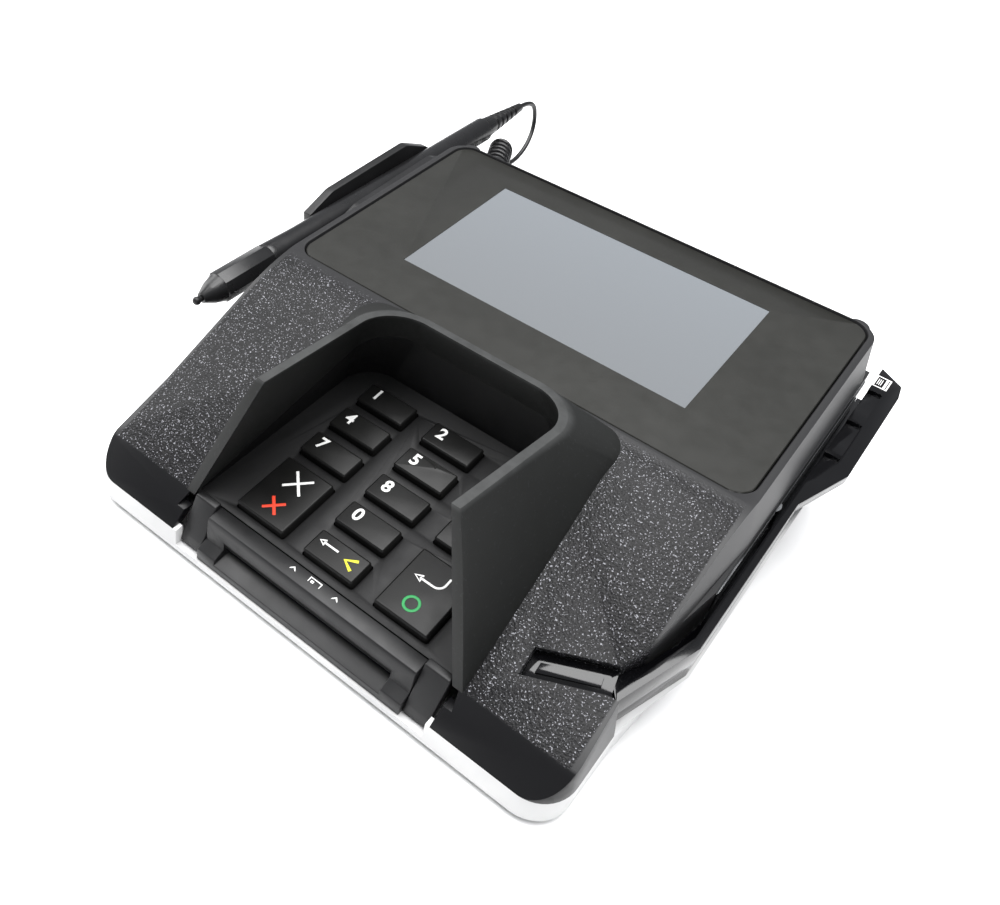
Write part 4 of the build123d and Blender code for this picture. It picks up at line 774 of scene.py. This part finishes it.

# %% [markdown]
# A tube along the path gives the cord its thickness.  It is a curve with a round bevel turned to
# mesh.

# %% Tether tube
tube_line = bpy.data.curves.new("pen_tether", "CURVE")
tube_line.dimensions = "3D"
tube_line.bevel_depth = tether_diameter / 2 * mm
tube_line.bevel_resolution = 3
tube_line.use_fill_caps = True
tube_spline = tube_line.splines.new("POLY")
tube_spline.points.add(len(tether_path) - 1)
for place, point in zip(tube_spline.points, tether_path):
    place.co = (*(point * mm), 1)
tether = bpy.data.objects.new("pen_tether", tube_line)
bpy.context.scene.collection.objects.link(tether)
only(tether)
bpy.ops.object.convert(target="MESH")
tether = bpy.context.object
bpy.ops.object.shade_smooth()
tether.data.materials.clear()
tether.data.materials.append(cord_jacket)
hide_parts("tether_lead", "tether_coil")
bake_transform(tether)
print("tether", len(tether.data.polygons), "faces")

# %% [markdown]
# ## Finishes for the pieces that CAD already made right
# Screws, boards, chips and springs keep their CAD shapes.  Each node's material is swapped for
# the finish of the real thing.

# %% Dress the remaining nodes
finish_of_node = {
    "rubber_feet": foot_rubber, "base_inserts": turned_brass, "service_door": silver_paint,
    "case_screws": zinc_steel, "lens_gasket": closed_foam, "lcd_module": screen_polariser,
    "lcd_bracket": zinc_steel, "keypad_membrane": grey_silicone, "keypad_board": solder_mask,
    "card_reader": eroded_abs, "card_contacts": gold_flash, "wear_strip": drawn_steel,
    "magnetic_head": drawn_steel, "head_spring": drawn_steel, "main_board": solder_mask,
    "board_screws": zinc_steel, "processor_can": zinc_steel, "memory_chips": epoxy_chip,
    "cell_holder": eroded_abs, "coin_cell": drawn_steel, "io_connector": zinc_steel,
    "sam_holder": zinc_steel, "board_sockets": nylon_socket, "speaker": eroded_abs,
    "display_flex": polyimide, "keypad_flex": polyimide,
}
for node, material in finish_of_node.items():
    shown = frame["nodes"][node]
    if not shown.material_slots:
        shown.data.materials.append(material)
    for place in shown.material_slots:
        place.material = material
print(len(finish_of_node), "nodes dressed")

# %% [markdown]
# ## Floor, light and camera
# The terminal stands on a plain pale floor under soft studio light: a wide overhead panel, a
# long panel on the left that draws the bright edges, and a pale room that fills the shadows.

# %% Floor and room
floor_colour = moulded("pale_floor", "#f4f4f4", "#f7f7f7", (0.7, 0.8), 2.0, 0.01)
bpy.ops.object.select_all(action="DESELECT")
bpy.ops.mesh.primitive_plane_add(size=6.0, location=(0, 0, -0.0002))
floor = bpy.context.object
floor.name = "floor"
floor.data.materials.append(floor_colour)

room = bpy.data.worlds.new("studio_room")
room.use_nodes = True
room.node_tree.nodes["Background"].inputs[0].default_value = (0.93, 0.95, 1.0, 1.0)
room.node_tree.nodes["Background"].inputs[1].default_value = 0.36
bpy.context.scene.world = room
bpy.context.scene.view_settings.view_transform = "Standard"

# %% Softboxes


def softbox(name, place, aim, size, power, mirrored=True):
    """A rectangular area light at a place in metres.  mirrored says if gloss shows it."""
    light = bpy.data.lights.new(name, "AREA")
    light.shape = "RECTANGLE"
    light.size, light.size_y = size
    light.energy = power
    holder = bpy.data.objects.new(name, light)
    bpy.context.scene.collection.objects.link(holder)
    holder.location = place
    holder.rotation_euler = (Vector(aim) - Vector(place)).to_track_quat("-Z", "Y").to_euler()
    holder.visible_glossy = mirrored
    return holder


softbox("overhead_panel", (0.0, -0.1, 1.6), (0, 0, 0.03), (1.6, 1.4), 52.0)
softbox("left_panel", (-1.1, -0.1, 0.6), (0, 0, 0.03), (0.5, 1.2), 9.0)
softbox("back_panel", (-0.5, 1.3, 0.9), (0, 0.0, 0.03), (1.2, 0.5), 9.0, mirrored=False)

# %% Camera
camera_data = bpy.data.cameras.new("camera")
camera = bpy.data.objects.new("camera", camera_data)
bpy.context.scene.collection.objects.link(camera)
right = Vector((0.777336, 0.61087, 0.150289))
down = Vector((0.488821, -0.436148, -0.755533))
ahead = Vector((-0.395984, 0.660767, -0.637639))
turn = Matrix((right, -down, -ahead)).transposed()
camera.matrix_world = Matrix.Translation((0.092877, -0.199038, 0.194992)) @ turn.to_4x4()
camera_data.sensor_width = 36.0
camera_data.lens = 938.557 / 1000 * 36.0
camera_data.shift_x = (500.0 - 407.687) / 1000
camera_data.shift_y = -(452.5 - 442.616) / 1000
camera_data.clip_start = 0.01
bpy.context.scene.camera = camera
print("camera", [round(c, 4) for c in camera.location])
